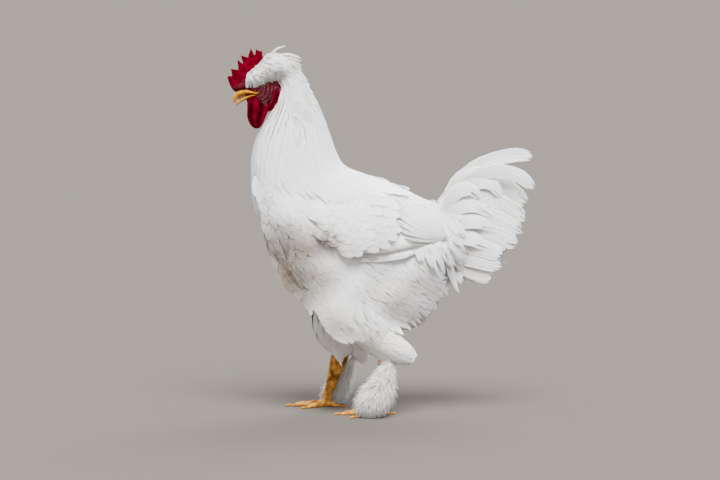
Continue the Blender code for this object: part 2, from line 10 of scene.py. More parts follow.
import bmesh
import bpy
import numpy as np
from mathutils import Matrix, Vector


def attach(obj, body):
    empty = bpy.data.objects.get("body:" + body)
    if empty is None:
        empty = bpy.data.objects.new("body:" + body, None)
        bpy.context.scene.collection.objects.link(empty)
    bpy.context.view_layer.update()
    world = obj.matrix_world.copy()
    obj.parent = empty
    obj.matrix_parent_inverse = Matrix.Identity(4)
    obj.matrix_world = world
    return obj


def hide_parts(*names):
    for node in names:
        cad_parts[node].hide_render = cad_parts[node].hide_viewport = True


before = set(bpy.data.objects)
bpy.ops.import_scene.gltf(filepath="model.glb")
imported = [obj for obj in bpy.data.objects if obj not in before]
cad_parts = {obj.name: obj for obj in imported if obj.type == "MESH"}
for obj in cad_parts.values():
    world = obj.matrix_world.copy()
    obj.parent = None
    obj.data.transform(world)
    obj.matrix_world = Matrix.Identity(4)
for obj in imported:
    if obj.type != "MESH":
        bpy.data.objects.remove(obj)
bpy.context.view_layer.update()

SIDES = {"left": -1.0, "right": 1.0}
TURN = 2 * math.pi
STEP = 0.01  # of a row or a radian, for slopes
PATCH = 0.003  # how large each vane's patch is on the unwrap
VANE_MAP = 100  # units of a vane's own map to the metre

# ---------------------------------------------------------------- lines of the forms
# Body, crown to tail root: back x and z, front x and z, half-width, how much narrower the back is.
BODY = (
    (-0.139, 0.569, -0.164, 0.545, 0.018, 0.00),
    (-0.124, 0.543, -0.173, 0.513, 0.028, 0.00),
    (-0.108, 0.516, -0.188, 0.483, 0.038, 0.00),
    (-0.095, 0.487, -0.204, 0.453, 0.047, 0.00),
    (-0.082, 0.450, -0.213, 0.415, 0.056, 0.00),
    (-0.073, 0.425, -0.213, 0.380, 0.063, 0.02),
    (-0.060, 0.405, -0.210, 0.345, 0.070, 0.04),
    (-0.030, 0.392, -0.196, 0.305, 0.078, 0.05),
    (0.005, 0.380, -0.179, 0.251, 0.085, 0.07),
    (0.038, 0.366, -0.137, 0.195, 0.087, 0.09),
    (0.062, 0.354, -0.070, 0.157, 0.085, 0.10),
    (0.078, 0.347, 0.000, 0.140, 0.080, 0.10),
    (0.088, 0.343, 0.056, 0.141, 0.071, 0.08),
    (0.093, 0.342, 0.098, 0.190, 0.057, 0.05),
    (0.097, 0.343, 0.110, 0.228, 0.043, 0.00),
)
BODY_FULLNESS = 2.35
# Head, bill, tongue, knob and chin, in the head's own axes: along, middle height, half-height, half-width.
HEAD_CENTRE = (-0.190, 0.0, 0.541)
HEAD_DROOP = math.radians(36)
HEAD = (
    (-0.034, 0.006, 0.004, 0.004),
    (-0.027, 0.006, 0.015, 0.012),
    (-0.014, 0.001, 0.0250, 0.0175),
    (0.000, -0.004, 0.0300, 0.0195),
    (0.012, -0.007, 0.0310, 0.0180),
    (0.022, -0.002, 0.0235, 0.0140),
    (0.030, 0.003, 0.0150, 0.0100),
    (0.036, 0.006, 0.0110, 0.0072),
)
UPPER_BILL = (
    (0.0140, -0.0090, 0.0004, 0.0172),
    (0.0178, -0.0064, 0.0008, 0.0178),
    (0.0215, -0.0040, 0.0016, 0.0170),
    (0.0250, -0.0008, 0.0027, 0.0154),
    (0.0290, 0.0032, 0.0040, 0.0126),
    (0.0350, 0.0080, 0.0049, 0.0094),
    (0.0440, 0.0112, 0.0047, 0.0064),
    (0.0510, 0.0108, 0.0042, 0.0046),
    (0.0565, 0.0075, 0.0031, 0.0029),
    (0.0600, 0.0032, 0.0011, 0.0011),
)
LOWER_BILL = (
    (0.0215, -0.0072, 0.0010, 0.0158),
    (0.0270, -0.0048, 0.0022, 0.0136),
    (0.0330, -0.0026, 0.0030, 0.0104),
    (0.0400, -0.0010, 0.0031, 0.0074),
    (0.0460, 0.0000, 0.0028, 0.0052),
    (0.0535, 0.0000, 0.0021, 0.0034),
    (0.0605, -0.0018, 0.0009, 0.0013),
)
TONGUE = (
    (0.0250, -0.0010, 0.0040, 0.0070),
    (0.0360, 0.0030, 0.0036, 0.0048),
    (0.0460, 0.0048, 0.0026, 0.0032),
    (0.0520, 0.0044, 0.0008, 0.0010),
)
KNOB = (
    (0.0200, 0.0105, 0.0040, 0.0080),
    (0.0255, 0.0148, 0.0062, 0.0094),
    (0.0330, 0.0180, 0.0066, 0.0090),
    (0.0400, 0.0202, 0.0056, 0.0076),
    (0.0455, 0.0214, 0.0040, 0.0056),
    (0.0485, 0.0220, 0.0012, 0.0018),
)
CHIN = (
    (0.0120, -0.0130, 0.0110, 0.0130),
    (0.0280, -0.0105, 0.0068, 0.0095),
    (0.0370, -0.0082, 0.0040, 0.0062),
    (0.0425, -0.0070, 0.0012, 0.0018),
)
EYE = (0.0035, -0.0012, 0.0134)  # along, up, out
EYE_RADIUS = 0.0065
# The comb, front to back: tips of its spikes, the valleys between them, and the edge before and after.
COMB_SPIKES = (
    (0.0440, 0.0455),
    (0.0320, 0.0520),
    (0.0140, 0.0580),
    (0.0055, 0.0605),
    (-0.0145, 0.0600),
    (-0.0205, 0.0540),
    (-0.0270, 0.0455),
)
COMB_VALLEYS = (
    (0.0370, 0.0410),
    (0.0230, 0.0430),
    (0.0110, 0.0455),
    (-0.0015, 0.0505),
    (-0.0125, 0.0450),
    (-0.0230, 0.0480),
)
COMB_FRONT = ((0.0400, 0.0100), (0.0490, 0.0180), (0.0498, 0.0240), (0.0486, 0.0320), (0.0466, 0.0390))
COMB_BACK = ((-0.0220, 0.0380), (-0.0235, 0.0350), (-0.0165, 0.0320), (-0.0180, 0.0100), (0.0100, 0.0040))
# Grid of a side's relief: its lowest x and z, the size and number of its cells, and how dense a form is read.
RELIEF_LOW = (-0.30, 0.02)
RELIEF_STEP = 0.002
RELIEF_CELLS = (300, 300)
RELIEF_POINTS = (700, 900)
RELIEF_BLUR = 18  # cells that the average reaches to each side
# Wattle, top to bottom: height, middle x, half-length, distance out, half-thickness.
WATTLE = (
    (0.521, -0.203, 0.0070, 0.0070, 0.0034),
    (0.511, -0.2030, 0.0155, 0.0092, 0.0036),
    (0.499, -0.2015, 0.0180, 0.0112, 0.0034),
    (0.487, -0.2040, 0.0155, 0.0128, 0.0032),
    (0.476, -0.2045, 0.0115, 0.0140, 0.0029),
    (0.470, -0.2040, 0.0072, 0.0145, 0.0023),
    (0.4672, -0.2035, 0.0028, 0.0147, 0.0014),
)
# Ear lobe: x, z, distance out, half-width, half-thickness.
EARLOBE = (
    (-0.1675, 0.5350, 0.0165, 0.0022, 0.0015),
    (-0.1690, 0.5305, 0.0185, 0.0058, 0.0026),
    (-0.1700, 0.5225, 0.0195, 0.0060, 0.0028),
    (-0.1745, 0.5110, 0.0190, 0.0052, 0.0026),
    (-0.1805, 0.5015, 0.0170, 0.0042, 0.0024),
    (-0.1850, 0.4965, 0.0155, 0.0022, 0.0014),
)
# Crest, front to back: x, lowest z, highest z, half-width.
CREST = (
    (-0.2245, 0.5450, 0.5510, 0.0060),
    (-0.2200, 0.5385, 0.5580, 0.0150),
    (-0.2090, 0.5340, 0.5680, 0.0230),
    (-0.1980, 0.5335, 0.5760, 0.0280),
    (-0.1880, 0.5385, 0.5870, 0.0300),
    (-0.1740, 0.5420, 0.5900, 0.0300),
    (-0.1600, 0.5470, 0.5850, 0.0265),
    (-0.1480, 0.5500, 0.5740, 0.0205),
    (-0.1400, 0.5540, 0.5640, 0.0110),
)
# Folded wing, front to back: x, middle z, half-height, furthest out, half-thickness.
WING = (
    (-0.115, 0.325, 0.0090, 0.0870, 0.0080),
    (-0.102, 0.327, 0.0270, 0.0925, 0.0150),
    (-0.074, 0.324, 0.0430, 0.0960, 0.0180),
    (-0.038, 0.317, 0.0530, 0.0980, 0.0200),
    (0.000, 0.315, 0.0520, 0.0980, 0.0210),
    (0.040, 0.314, 0.0440, 0.0940, 0.0210),
    (0.075, 0.311, 0.0330, 0.0850, 0.0200),
    (0.095, 0.306, 0.0230, 0.0750, 0.0170),
    (0.107, 0.301, 0.0100, 0.0660, 0.0090),
)
WING_LEAN = 0.30
# Body of the tail, front to back: x, middle z, half-height, half-width.
TAIL_CORE = (
    (0.088, 0.288, 0.062, 0.036),
    (0.104, 0.292, 0.073, 0.039),
    (0.124, 0.302, 0.078, 0.039),
    (0.150, 0.314, 0.080, 0.034),
    (0.180, 0.322, 0.074, 0.026),
    (0.205, 0.328, 0.060, 0.016),
    (0.218, 0.330, 0.040, 0.008),
)
# The same body as x, lowest z, highest z and half-width.
TAIL_RIDGE = [(x, z - half_height, z + half_height, width) for x, z, half_height, width in TAIL_CORE]
# Tail feathers of one side, top to bottom: root x, z, out; a place on the way; tip; half-width.
TAIL_FEATHERS = (
    (0.102, 0.320, 0.010, 0.160, 0.385, 0.016, 0.240, 0.345, 0.014, 0.0150),
    (0.102, 0.312, 0.015, 0.165, 0.352, 0.024, 0.237, 0.318, 0.022, 0.0150),
    (0.102, 0.302, 0.019, 0.165, 0.325, 0.030, 0.231, 0.297, 0.030, 0.0150),
    (0.103, 0.290, 0.022, 0.165, 0.300, 0.036, 0.222, 0.279, 0.038, 0.0150),
    (0.103, 0.276, 0.023, 0.155, 0.275, 0.038, 0.197, 0.262, 0.044, 0.0135),
    (0.104, 0.262, 0.022, 0.150, 0.254, 0.036, 0.196, 0.243, 0.043, 0.0120),
    (0.104, 0.250, 0.018, 0.145, 0.235, 0.030, 0.179, 0.222, 0.036, 0.0120),
)
# Sickle feathers: the bird's side, then places from root to tip as x, z, out.
SICKLES = {
    "right": ((0.101, 0.345, 0.010), (0.133, 0.385, 0.019), (0.170, 0.409, 0.022),
              (0.218, 0.4215, 0.021), (0.2500, 0.4185, 0.018)),
    "left": ((0.101, 0.335, 0.012), (0.135, 0.376, 0.024), (0.178, 0.399, 0.029),
             (0.222, 0.392, 0.029), (0.2495, 0.3680, 0.025)),
}
# Curled coverts of one side: four places from root to tip as x, z, out; half-width.
CURLED_COVERTS = (
    (0.100, 0.322, 0.034, 0.118, 0.362, 0.036, 0.1440, 0.3700, 0.036, 0.1600, 0.3540, 0.034, 0.0105),
    (0.110, 0.335, 0.022, 0.146, 0.378, 0.028, 0.1760, 0.3800, 0.028, 0.1935, 0.3575, 0.027, 0.0110),
    (0.102, 0.318, 0.036, 0.124, 0.338, 0.038, 0.1520, 0.3420, 0.037, 0.1810, 0.3250, 0.034, 0.0095),
    (0.102, 0.300, 0.037, 0.130, 0.316, 0.040, 0.1600, 0.3160, 0.040, 0.1880, 0.3020, 0.038, 0.0105),
    (0.100, 0.312, 0.038, 0.112, 0.322, 0.040, 0.1260, 0.3250, 0.040, 0.1400, 0.3200, 0.039, 0.0070),
    (0.104, 0.342, 0.014, 0.126, 0.380, 0.020, 0.1560, 0.3960, 0.022, 0.1880, 0.3900, 0.022, 0.0100),
    (0.104, 0.285, 0.037, 0.128, 0.292, 0.041, 0.1500, 0.2880, 0.042, 0.1720, 0.2740, 0.042, 0.0110),
)
CREST_WISPS = (  # root x, root z, distance out, tip x, tip z, half-width
    (-0.188, 0.5810, 0.004, -0.1570, 0.6010, 0.0013),
    (-0.184, 0.5830, 0.008, -0.1640, 0.5985, 0.0012),
    (-0.180, 0.5845, 0.002, -0.1620, 0.5995, 0.0012),
    (-0.172, 0.5830, 0.003, -0.1300, 0.5800, 0.0014),
    (-0.174, 0.5850, 0.006, -0.1340, 0.5830, 0.0012),
    (-0.168, 0.5790, 0.010, -0.1310, 0.5755, 0.0013),
    (-0.164, 0.5765, 0.012, -0.1300, 0.5690, 0.0014),
    (-0.162, 0.5745, 0.014, -0.1305, 0.5635, 0.0014),
)
UNDERTAIL = (  # tip x, tip z, distance out, half-width
    (0.1740, 0.2240, 0.026, 0.0085),
    (0.1600, 0.2200, 0.030, 0.0080),
    (0.1640, 0.2270, 0.018, 0.0085),
    (0.1460, 0.2160, 0.024, 0.0085),
    (0.1480, 0.2220, 0.010, 0.0080),
    (0.1320, 0.2130, 0.030, 0.0080),
    (0.1340, 0.2180, 0.016, 0.0085),
    (0.1180, 0.2090, 0.024, 0.0085),
    (0.1220, 0.2120, 0.006, 0.0080),
    (0.1080, 0.2040, 0.032, 0.0080),
)
SICKLE_HALF_WIDTH = 0.0115
LEG_STRIP_TOP = 0.125  # below it a place is on a leg's strip of the unwrap
LEG_STRIP_LENGTH = 0.130
SPINE_POINTS = 120
HEAD_STRIP_START = -0.050  # along the bill
HEAD_STRIP_LENGTH = 0.110
# Strips of the unwrap for trunk, head, left and right leg: start and span along, low and high edge across.
STRIPS = (
    (0.02, 0.96, 0.42, 0.96),
    (0.02, 0.96, 0.04, 0.20),
    (0.02, 0.44, 0.24, 0.38),
    (0.52, 0.44, 0.24, 0.38),
)
# Legs. Each row: x, z, distance out, radius along, radius across.
THIGH = {
    "left": (
        (-0.082, 0.222, 0.046, 0.040, 0.030),
        (-0.062, 0.196, 0.052, 0.050, 0.038),
        (-0.042, 0.165, 0.054, 0.046, 0.036),
        (-0.016, 0.136, 0.053, 0.034, 0.029),
        (0.002, 0.114, 0.051, 0.023, 0.021),
        (0.011, 0.099, 0.050, 0.0165, 0.0150),
    ),
    "right": (
        (-0.100, 0.222, 0.046, 0.036, 0.030),
        (-0.086, 0.190, 0.050, 0.040, 0.036),
        (-0.079, 0.160, 0.051, 0.041, 0.034),
        (-0.075, 0.134, 0.050, 0.0385, 0.029),
        (-0.070, 0.114, 0.049, 0.0320, 0.0230),
        (-0.0665, 0.099, 0.048, 0.0235, 0.0180),
        (-0.0660, 0.088, 0.048, 0.0165, 0.0145),
    ),
}
HOCK_TUFT = {
    "left": (
        (-0.020, 0.138, 0.056, 0.014, 0.012),
        (0.002, 0.124, 0.058, 0.021, 0.017),
        (0.022, 0.111, 0.059, 0.0205, 0.016),
        (0.038, 0.101, 0.059, 0.0175, 0.013),
        (0.050, 0.093, 0.058, 0.0105, 0.008),
    ),
    "right": (
        (-0.068, 0.134, 0.050, 0.012, 0.012),
        (-0.053, 0.116, 0.054, 0.016, 0.015),
        (-0.042, 0.100, 0.056, 0.0155, 0.013),
        (-0.034, 0.087, 0.056, 0.0125, 0.009),
        (-0.029, 0.078, 0.055, 0.0075, 0.005),
    ),
}
HOCK = {"left": (0.012, 0.0955, 0.050), "right": (-0.065, 0.0955, 0.048)}
ANKLE = {"left": (-0.009, 0.0135, 0.048), "right": (-0.091, 0.0135, 0.047)}
SHANK = (  # share of the way down, radius fore and aft, radius across
    (0.00, 0.0150, 0.0108),
    (0.14, 0.0148, 0.0106),
    (0.34, 0.0124, 0.0090),
    (0.58, 0.0098, 0.0078),
    (0.80, 0.0076, 0.0070),
    (0.93, 0.0078, 0.0079),
    (1.00, 0.0080, 0.0081),
)
BOOT = (  # height, middle from the shank, radius along, out, radius across
    (0.100, 0.004, 0.0125, 0.003, 0.0120),
    (0.084, 0.001, 0.0140, 0.010, 0.0125),
    (0.067, -0.001, 0.0185, 0.018, 0.0145),
    (0.048, -0.004, 0.0250, 0.024, 0.0180),
    (0.030, -0.006, 0.0285, 0.027, 0.0200),
    (0.016, -0.007, 0.0260, 0.026, 0.0185),
    (0.0065, -0.007, 0.0190, 0.023, 0.0140),
)
BOOT_SIZE = {"left": 1.0, "right": 0.78}
BOOT_TALL = {"left": 1.0, "right": 0.86}
BOOT_BEHIND = {"left": 0.0, "right": 0.019}
TOES = {  # degrees outwards from straight ahead, length, radius at the root
    "middle": (0, 0.056, 0.0062),
    "inner": (-38, 0.041, 0.0056),
    "outer": (42, 0.044, 0.0056),
    "back": (198, 0.023, 0.0050),
}
TOE_TAPER = 0.66
FLOOR_SINK = 0.0012
CLAW_LENGTH = 0.0125
CLAW_RADIUS = 0.0031
SPUR_HEIGHT = 0.032
SPUR_LENGTH = 0.007
SPUR_RADIUS = 0.0040


# ---------------------------------------------------------------- arithmetic on whole arrays
def unit(vectors):
    """Vectors of length 1."""
    return vectors / np.maximum(np.linalg.norm(vectors, axis=-1, keepdims=True), 1e-12)


def read_line(rows, at):
    """Catmull-Rom curve through the rows, read at row number at."""
    rows = np.asarray(rows, float)
    at = np.clip(np.asarray(at, float), 0, len(rows) - 1)
    i = np.minimum(at.astype(int), len(rows) - 2)
    f = (at - i)[..., None]
    before, a, b = rows[np.maximum(i - 1, 0)], rows[i], rows[i + 1]
    after = rows[np.minimum(i + 2, len(rows) - 1)]
    bend = (2 * before - 5 * a + 4 * b - after) * f**2
    turn = (3 * a - before - 3 * b + after) * f**3
    return 0.5 * (2 * a + (b - before) * f + bend + turn)


def rows_of(table, count):
    """Row numbers spread evenly from a table's first row to its last."""
    return np.linspace(0, len(table) - 1, count)


def ease(low, high, value):
    """0 below low, 1 above high, and a smooth rise between them."""
    t = np.clip((value - low) / (high - low), 0, 1)
    return t * t * (3 - 2 * t)


def waves(points, size, seed, count=7):
    """Smooth noise from -1 to 1: the mean of sine waves of about one size that run in random directions."""
    rng = np.random.default_rng(seed)
    ways = unit(rng.normal(size=(count, 3))) * (TURN / size) * rng.uniform(0.7, 1.3, (count, 1))
    return np.sin(points @ ways.T + rng.uniform(0, TURN, count)).mean(-1) * 1.6


def from_head(along, up, out):
    """A place given in the head's own axes, as x, y and z."""
    c, s = math.cos(HEAD_DROOP), math.sin(HEAD_DROOP)
    x0, y0, z0 = HEAD_CENTRE
    along, up, out = np.broadcast_arrays(along, up, out)
    return np.stack((x0 - c * along - s * up, y0 + out, z0 - s * along + c * up), axis=-1)


def into_head(points):
    """The along and up of places in the head's own axes."""
    c, s = math.cos(HEAD_DROOP), math.sin(HEAD_DROOP)
    dx, dz = points[..., 0] - HEAD_CENTRE[0], points[..., 2] - HEAD_CENTRE[2]
    return -(c * dx + s * dz), -s * dx + c * dz


# ---------------------------------------------------------------- forms, each a function of u and v
def body_form(u, v):
    """Full ellipses in the planes through the back and front lines. v is 0 on the back and half a turn in
    front.
    """
    back_x, back_z, front_x, front_z, half_width, narrow = np.moveaxis(read_line(BODY, u), -1, 0)
    c, s = np.cos(v), np.sin(v)
    upright = np.sign(c) * np.abs(c) ** (2 / BODY_FULLNESS)
    sideways = np.sign(s) * np.abs(s) ** (2 / BODY_FULLNESS)
    x = (back_x + front_x) / 2 + (back_x - front_x) / 2 * upright
    z = (back_z + front_z) / 2 + (back_z - front_z) / 2 * upright
    return np.stack((x, half_width * sideways * (1 - narrow * upright), z), axis=-1)


def plate_form(rows, side):
    """Upright ellipses across the bird that lean in towards their tops. v is 0 furthest out, a quarter at
    the top.
    """
    def form(u, v):
        x, middle, half_height, out, half_thick = np.moveaxis(read_line(rows, u), -1, 0)
        rise = half_height * np.sin(v)
        reach = out - half_thick + half_thick * np.cos(v) - WING_LEAN * rise
        return np.stack((x + 0 * v, SIDES[side] * reach, middle + rise), axis=-1)
    return form


def ridge_form(rows):
    """Upright ellipses over the middle plane, from rows of x, low z, high z and half-width. v is 0 at the
    top.
    """
    def form(u, v):
        x, low, high, half_width = np.moveaxis(read_line(rows, u), -1, 0)
        z = (low + high) / 2 + (high - low) / 2 * np.cos(v)
        return np.stack((x + 0 * v, half_width * np.sin(v), z), axis=-1)
    return form


def tube_form(place, out=(0.0, 1.0, 0.0)):
    """Ellipses square to a line. place(u) gives the middle, the radius in its plane and the radius along
    out.
    """
    def form(u, v):
        middle, wide, deep = place(u)
        along = unit(place(u + STEP)[0] - place(u - STEP)[0])
        across = unit(np.cross(along, out))
        outward = np.cross(across, along)
        return middle + across * (wide * np.cos(v))[..., None] + outward * (deep * np.sin(v))[..., None]
    return form


def limb_form(rows, side):
    """A tube from rows of x, z, distance out, radius along and radius across."""
    def place(u):
        x, z, out, along, across = np.moveaxis(read_line(rows, u), -1, 0)
        return np.stack((x, SIDES[side] * out, z), axis=-1), along, across
    return tube_form(place)


def head_form(rows):
    """A tube in the head's own axes, from rows of along, middle height, half-height and half-width."""
    def place(u):
        along, up, half_height, half_width = np.moveaxis(read_line(rows, u), -1, 0)
        return from_head(along, up, 0.0), half_height, half_width
    return tube_form(place)


def shank_place(side, share):
    """The middle of the shank, from the hock at share 0 to the ankle at 1."""
    hock, ankle = np.array(HOCK[side]), np.array(ANKLE[side])
    x, z, out = np.moveaxis(hock + (ankle - hock) * np.asarray(share, float)[..., None], -1, 0)
    return np.stack((x, SIDES[side] * out, z), axis=-1)


def shank_form(side):
    """A tube down the shank, wider fore and aft than across."""
    def place(u):
        share, along, across = np.moveaxis(read_line(SHANK, u), -1, 0)
        return shank_place(side, share), along, across
    return tube_form(place)


def boot_form(side):
    """Level ellipses beside the shank."""
    hock, ankle = shank_place(side, 0.0), shank_place(side, 1.0)

    def form(u, v):
        z, ahead, along, out, across = np.moveaxis(read_line(BOOT, u), -1, 0)
        z, size = z * BOOT_TALL[side], BOOT_SIZE[side]
        share = (hock[2] - z) / (hock[2] - ankle[2])
        middle = hock + share[..., None] * (ankle - hock)
        x = middle[..., 0] + ahead + BOOT_BEHIND[side] + along * size * np.cos(v)
        y = middle[..., 1] + SIDES[side] * out * size + across * size * np.sin(v)
        return np.stack((x, y, z + 0 * v), axis=-1)
    return form


def beyond(form, rows):
    """The same form, carried on straight past the last of its rows."""
    last = len(rows) - 1

    def longer(u, v):
        inside = np.clip(u, 0, last)
        at_end = np.full_like(inside, last)
        way = (form(at_end, v) - form(at_end - STEP, v)) / STEP
        return form(inside, v) + np.maximum(u - last, 0)[..., None] * way
    return longer


def coat_form(u, v):
    """The body's form swelled sideways along each wing's upper edge, so that the coat of the back runs on
    over it.
    """
    points = body_form(u, v)
    x, y, z = np.moveaxis(points, -1, 0)
    over_wing = 0.011 * np.exp(-(((x + 0.015) / 0.095) ** 2) - ((z - 0.350) / 0.030) ** 2)
    return np.stack((x, y + np.tanh(y / 0.03) * over_wing, z), axis=-1)


def side_form(side, forms, soft, swell=None, slack=0.010):
    """One side of the bird as a relief: the forms' greatest reach from the middle plane at each x and z.

    u is x and v is z. The reach is read off dense points of the forms into square cells. Each cell then
    takes the average of the covered cells round it, with weights that fall off by soft, so that the forms
    run into each other. swell(x, z) is added to it. It covers the cells that a form reaches and that the
    average lifts by less than slack. forms holds each form with the rows that it is read from.
    """
    reach = np.zeros(RELIEF_CELLS)
    for form, rows in forms:
        u, v = rows_of(rows, RELIEF_POINTS[0]), np.linspace(0, TURN, RELIEF_POINTS[1])
        u, v = np.meshgrid(u, v, indexing="ij")
        points = form(u, v).reshape(-1, 3)
        i, k = ((points[:, (0, 2)] - RELIEF_LOW) / RELIEF_STEP).astype(int).T
        np.maximum.at(reach, (i, k), points[:, 1] * SIDES[side])
    far = np.arange(-RELIEF_BLUR, RELIEF_BLUR + 1) * RELIEF_STEP / soft
    kernel = np.exp(-far * far / 2)
    kernel /= kernel.sum()
    covered = (reach > 0.002).astype(float)
    raised = reach * covered
    reach, cover = raised, covered
    for axis in (0, 1):
        reach = np.apply_along_axis(np.convolve, axis, reach, kernel, "same")
        cover = np.apply_along_axis(np.convolve, axis, cover, kernel, "same")
    reach = reach / np.maximum(cover, 0.02)

    def cell(u, v):
        at = (np.stack((u, v), axis=-1) - RELIEF_LOW) / RELIEF_STEP - 0.5
        return np.clip(at, 0, np.array(RELIEF_CELLS) - 1.01)

    def form(u, v):
        at = cell(u, v)
        i, k = np.moveaxis(at.astype(int), -1, 0)
        a, b = np.moveaxis(at % 1, -1, 0)
        low = reach[i, k] * (1 - a) + reach[i + 1, k] * a
        high = reach[i, k + 1] * (1 - a) + reach[i + 1, k + 1] * a
        out = low * (1 - b) + high * b + (swell(u, v) if swell else 0.0)
        return np.stack((u, SIDES[side] * out, v), axis=-1)

    def covers(u, v):
        i, k = np.moveaxis(cell(u, v).astype(int), -1, 0)
        return (covered[i, k] > 0.5) & (reach[i, k] - raised[i, k] < slack)

    form.across = lambda u, v: np.stack((u, 0 * u, v), axis=-1)
    form.covers = covers
    return form


def slopes(form, u, v):
    """How far a form moves for each unit of u and of v."""
    du = (form(u + STEP, v) - form(u - STEP, v)) / (2 * STEP)
    dv = (form(u, v + STEP) - form(u, v - STEP)) / (2 * STEP)
    return du, dv


def facing(form, u, v):
    """Unit directions square to a form, away from the place across it."""
    normal = unit(np.cross(*slopes(form, u, v)))
    away = form(u, v) - (form.across(u, v) if hasattr(form, "across") else form(u, v + math.pi))
    return normal * np.where((normal * away).sum(-1, keepdims=True) < 0, -1.0, 1.0)


# ---------------------------------------------------------------- meshes
def new_piece(name, points, faces):
    """One mesh object from an array of points and an array of four-sided faces, turned to face outwards."""
    points = np.asarray(points, np.float32).reshape(-1, 3)
    faces = np.asarray(faces, np.int32).reshape(-1, 4)
    a, b, c, d = (points[faces[:, k]].astype(float) for k in range(4))
    if (np.cross(c - a, d - b) * (a + b + c + d)).sum() < 0:
        faces = faces[:, ::-1]
    mesh = bpy.data.meshes.new(name)
    mesh.vertices.add(len(points))
    mesh.vertices.foreach_set("co", points.ravel())
    mesh.loops.add(faces.size)
    mesh.loops.foreach_set("vertex_index", faces.ravel())
    mesh.polygons.add(len(faces))
    mesh.polygons.foreach_set("loop_start", np.arange(len(faces), dtype=np.int32) * 4)
    mesh.update(calc_edges=True)
    mesh.shade_smooth()
    piece = bpy.data.objects.new(name, mesh)
    bpy.context.scene.collection.objects.link(piece)
    return piece


def cap_faces(ring):
    """Four-sided faces that fill a ring of an even number of point numbers."""
    return [(ring[0], ring[k], ring[k + 1], ring[k + 2]) for k in range(1, len(ring) - 2, 2)]


def wall_faces(walls, sides, closed=False):
    """Faces of that many walls of a tube, each between two rings. Closed, the last wall leads back to ring
    0.
    """
    ring = np.arange(walls)[:, None] * sides
    near, turned = (ring + np.arange(sides)).ravel(), (ring + (np.arange(sides) + 1) % sides).ravel()
    total = (walls if closed else walls + 1) * sides
    return np.stack((near, turned, (turned + sides) % total, (near + sides) % total), axis=-1)


def tube_faces(rings, sides):
    """Faces of a closed tube whose points count round each ring in turn, with both ends filled."""
    cap = np.array(cap_faces(range(sides)))
    return np.concatenate((wall_faces(rings - 1, sides), cap[:, ::-1], cap + (rings - 1) * sides))


def solid(name, form, rows, sides, inset=0.0):
    """A closed mesh of a form, read at rows, lying inset within it."""
    u, v = np.meshgrid(rows, TURN * np.arange(sides) / sides, indexing="ij")
    points = form(u, v)
    if np.any(inset):
        points = points - facing(form, u, v) * np.asarray(inset)[..., None]
    return new_piece(name, points, tube_faces(len(rows), sides))


def joined(name, pieces):
    """One object from several."""
    with bpy.context.temp_override(active_object=pieces[0], selected_editable_objects=pieces):
        bpy.ops.object.join()
    pieces[0].name = name
    return pieces[0]


def settle(piece):
    """Gives a piece the mesh that its modifiers make."""
    shown = piece.evaluated_get(bpy.context.evaluated_depsgraph_get())
    mesh = bpy.data.meshes.new_from_object(shown)
    piece.modifiers.clear()
    piece.data = mesh
    return piece


def melt(piece, voxel):
    """Runs overlapping closed meshes together into one even surface."""
    remesh = piece.modifiers.new("one surface", "REMESH")
    remesh.mode = "VOXEL"
    remesh.voxel_size = voxel
    return settle(piece)


def read_values(items, name, width, kind=np.int32):
    """One property of a mesh's points, edges, corners or faces: a row of width numbers for each."""
    values = np.empty(len(items) * width, kind)
    items.foreach_get(name, values)
    return values.reshape(-1, width)


def largest_part(piece):
    """The piece without any loose crumbs: each point takes its neighbours' lowest number until nothing
    changes.
    """
    a, b = read_values(piece.data.edges, "vertices", 2).T
    label = np.arange(len(piece.data.vertices))
    changed = True
    while changed:
        lowest = label.copy()
        np.minimum.at(lowest, a, label[b])
        np.minimum.at(lowest, b, label[a])
        lowest = lowest[lowest]
        changed = bool((lowest != label).any())
        label = lowest
    crumbs = np.flatnonzero(label != np.bincount(label).argmax())
    mesh = bmesh.new()
    mesh.from_mesh(piece.data)
    mesh.verts.ensure_lookup_table()
    bmesh.ops.delete(mesh, geom=[mesh.verts[k] for k in crumbs], context="VERTS")
    mesh.to_mesh(piece.data)
    mesh.free()
    return piece


def places(piece):
    """Each point's place."""
    return read_values(piece.data.vertices, "co", 3, np.float32).astype(float)


def normals(piece):
    """Each point's outward direction."""
    return read_values(piece.data.vertex_normals, "vector", 3, np.float32).astype(float)


def move_to(piece, points):
    """Moves each point to its new place."""
    piece.data.vertices.foreach_set("co", np.asarray(points, np.float32).ravel())
    piece.data.update()


def set_attribute(mesh, name, values):
    """A number for each point, for the materials to read."""
    layer = mesh.attributes.new(name, "FLOAT", "POINT")
    layer.data.foreach_set("value", np.asarray(values, np.float32).ravel())


def set_map(mesh, name, uv):
    """A UV map from one pair for each point."""
    corners = read_values(mesh.loops, "vertex_index", 1)[:, 0]
    layer = mesh.uv_layers.new(name=name)
    layer.data.foreach_set("uv", np.asarray(uv, np.float32)[corners].ravel())


# ---------------------------------------------------------------- materials
def new_material(name, roughness, **settings):
    """A Principled material. settings are even values of the shader's own sockets."""
    material = bpy.data.materials.new(name)
    material.use_nodes = True
    shader = material.node_tree.nodes["Principled BSDF"]
    shader.inputs["Roughness"].default_value = roughness
    for socket, value in settings.items():
        shader.inputs[socket.replace("_", " ")].default_value = value
    return material, material.node_tree, shader


def add_node(tree, kind, settings=(), **inputs):
    """A node with its properties set, and each input given a value or linked to a socket."""
    node = tree.nodes.new(kind)
    for name, value in dict(settings).items():
        setattr(node, name, value)
    for name, value in inputs.items():
        socket = node.inputs[int(name[1:])] if name[0] == "i" and name[1:].isdigit() else node.inputs[name]
        if isinstance(value, bpy.types.NodeSocket):
            tree.links.new(value, socket)
        else:
            socket.default_value = value
    return node


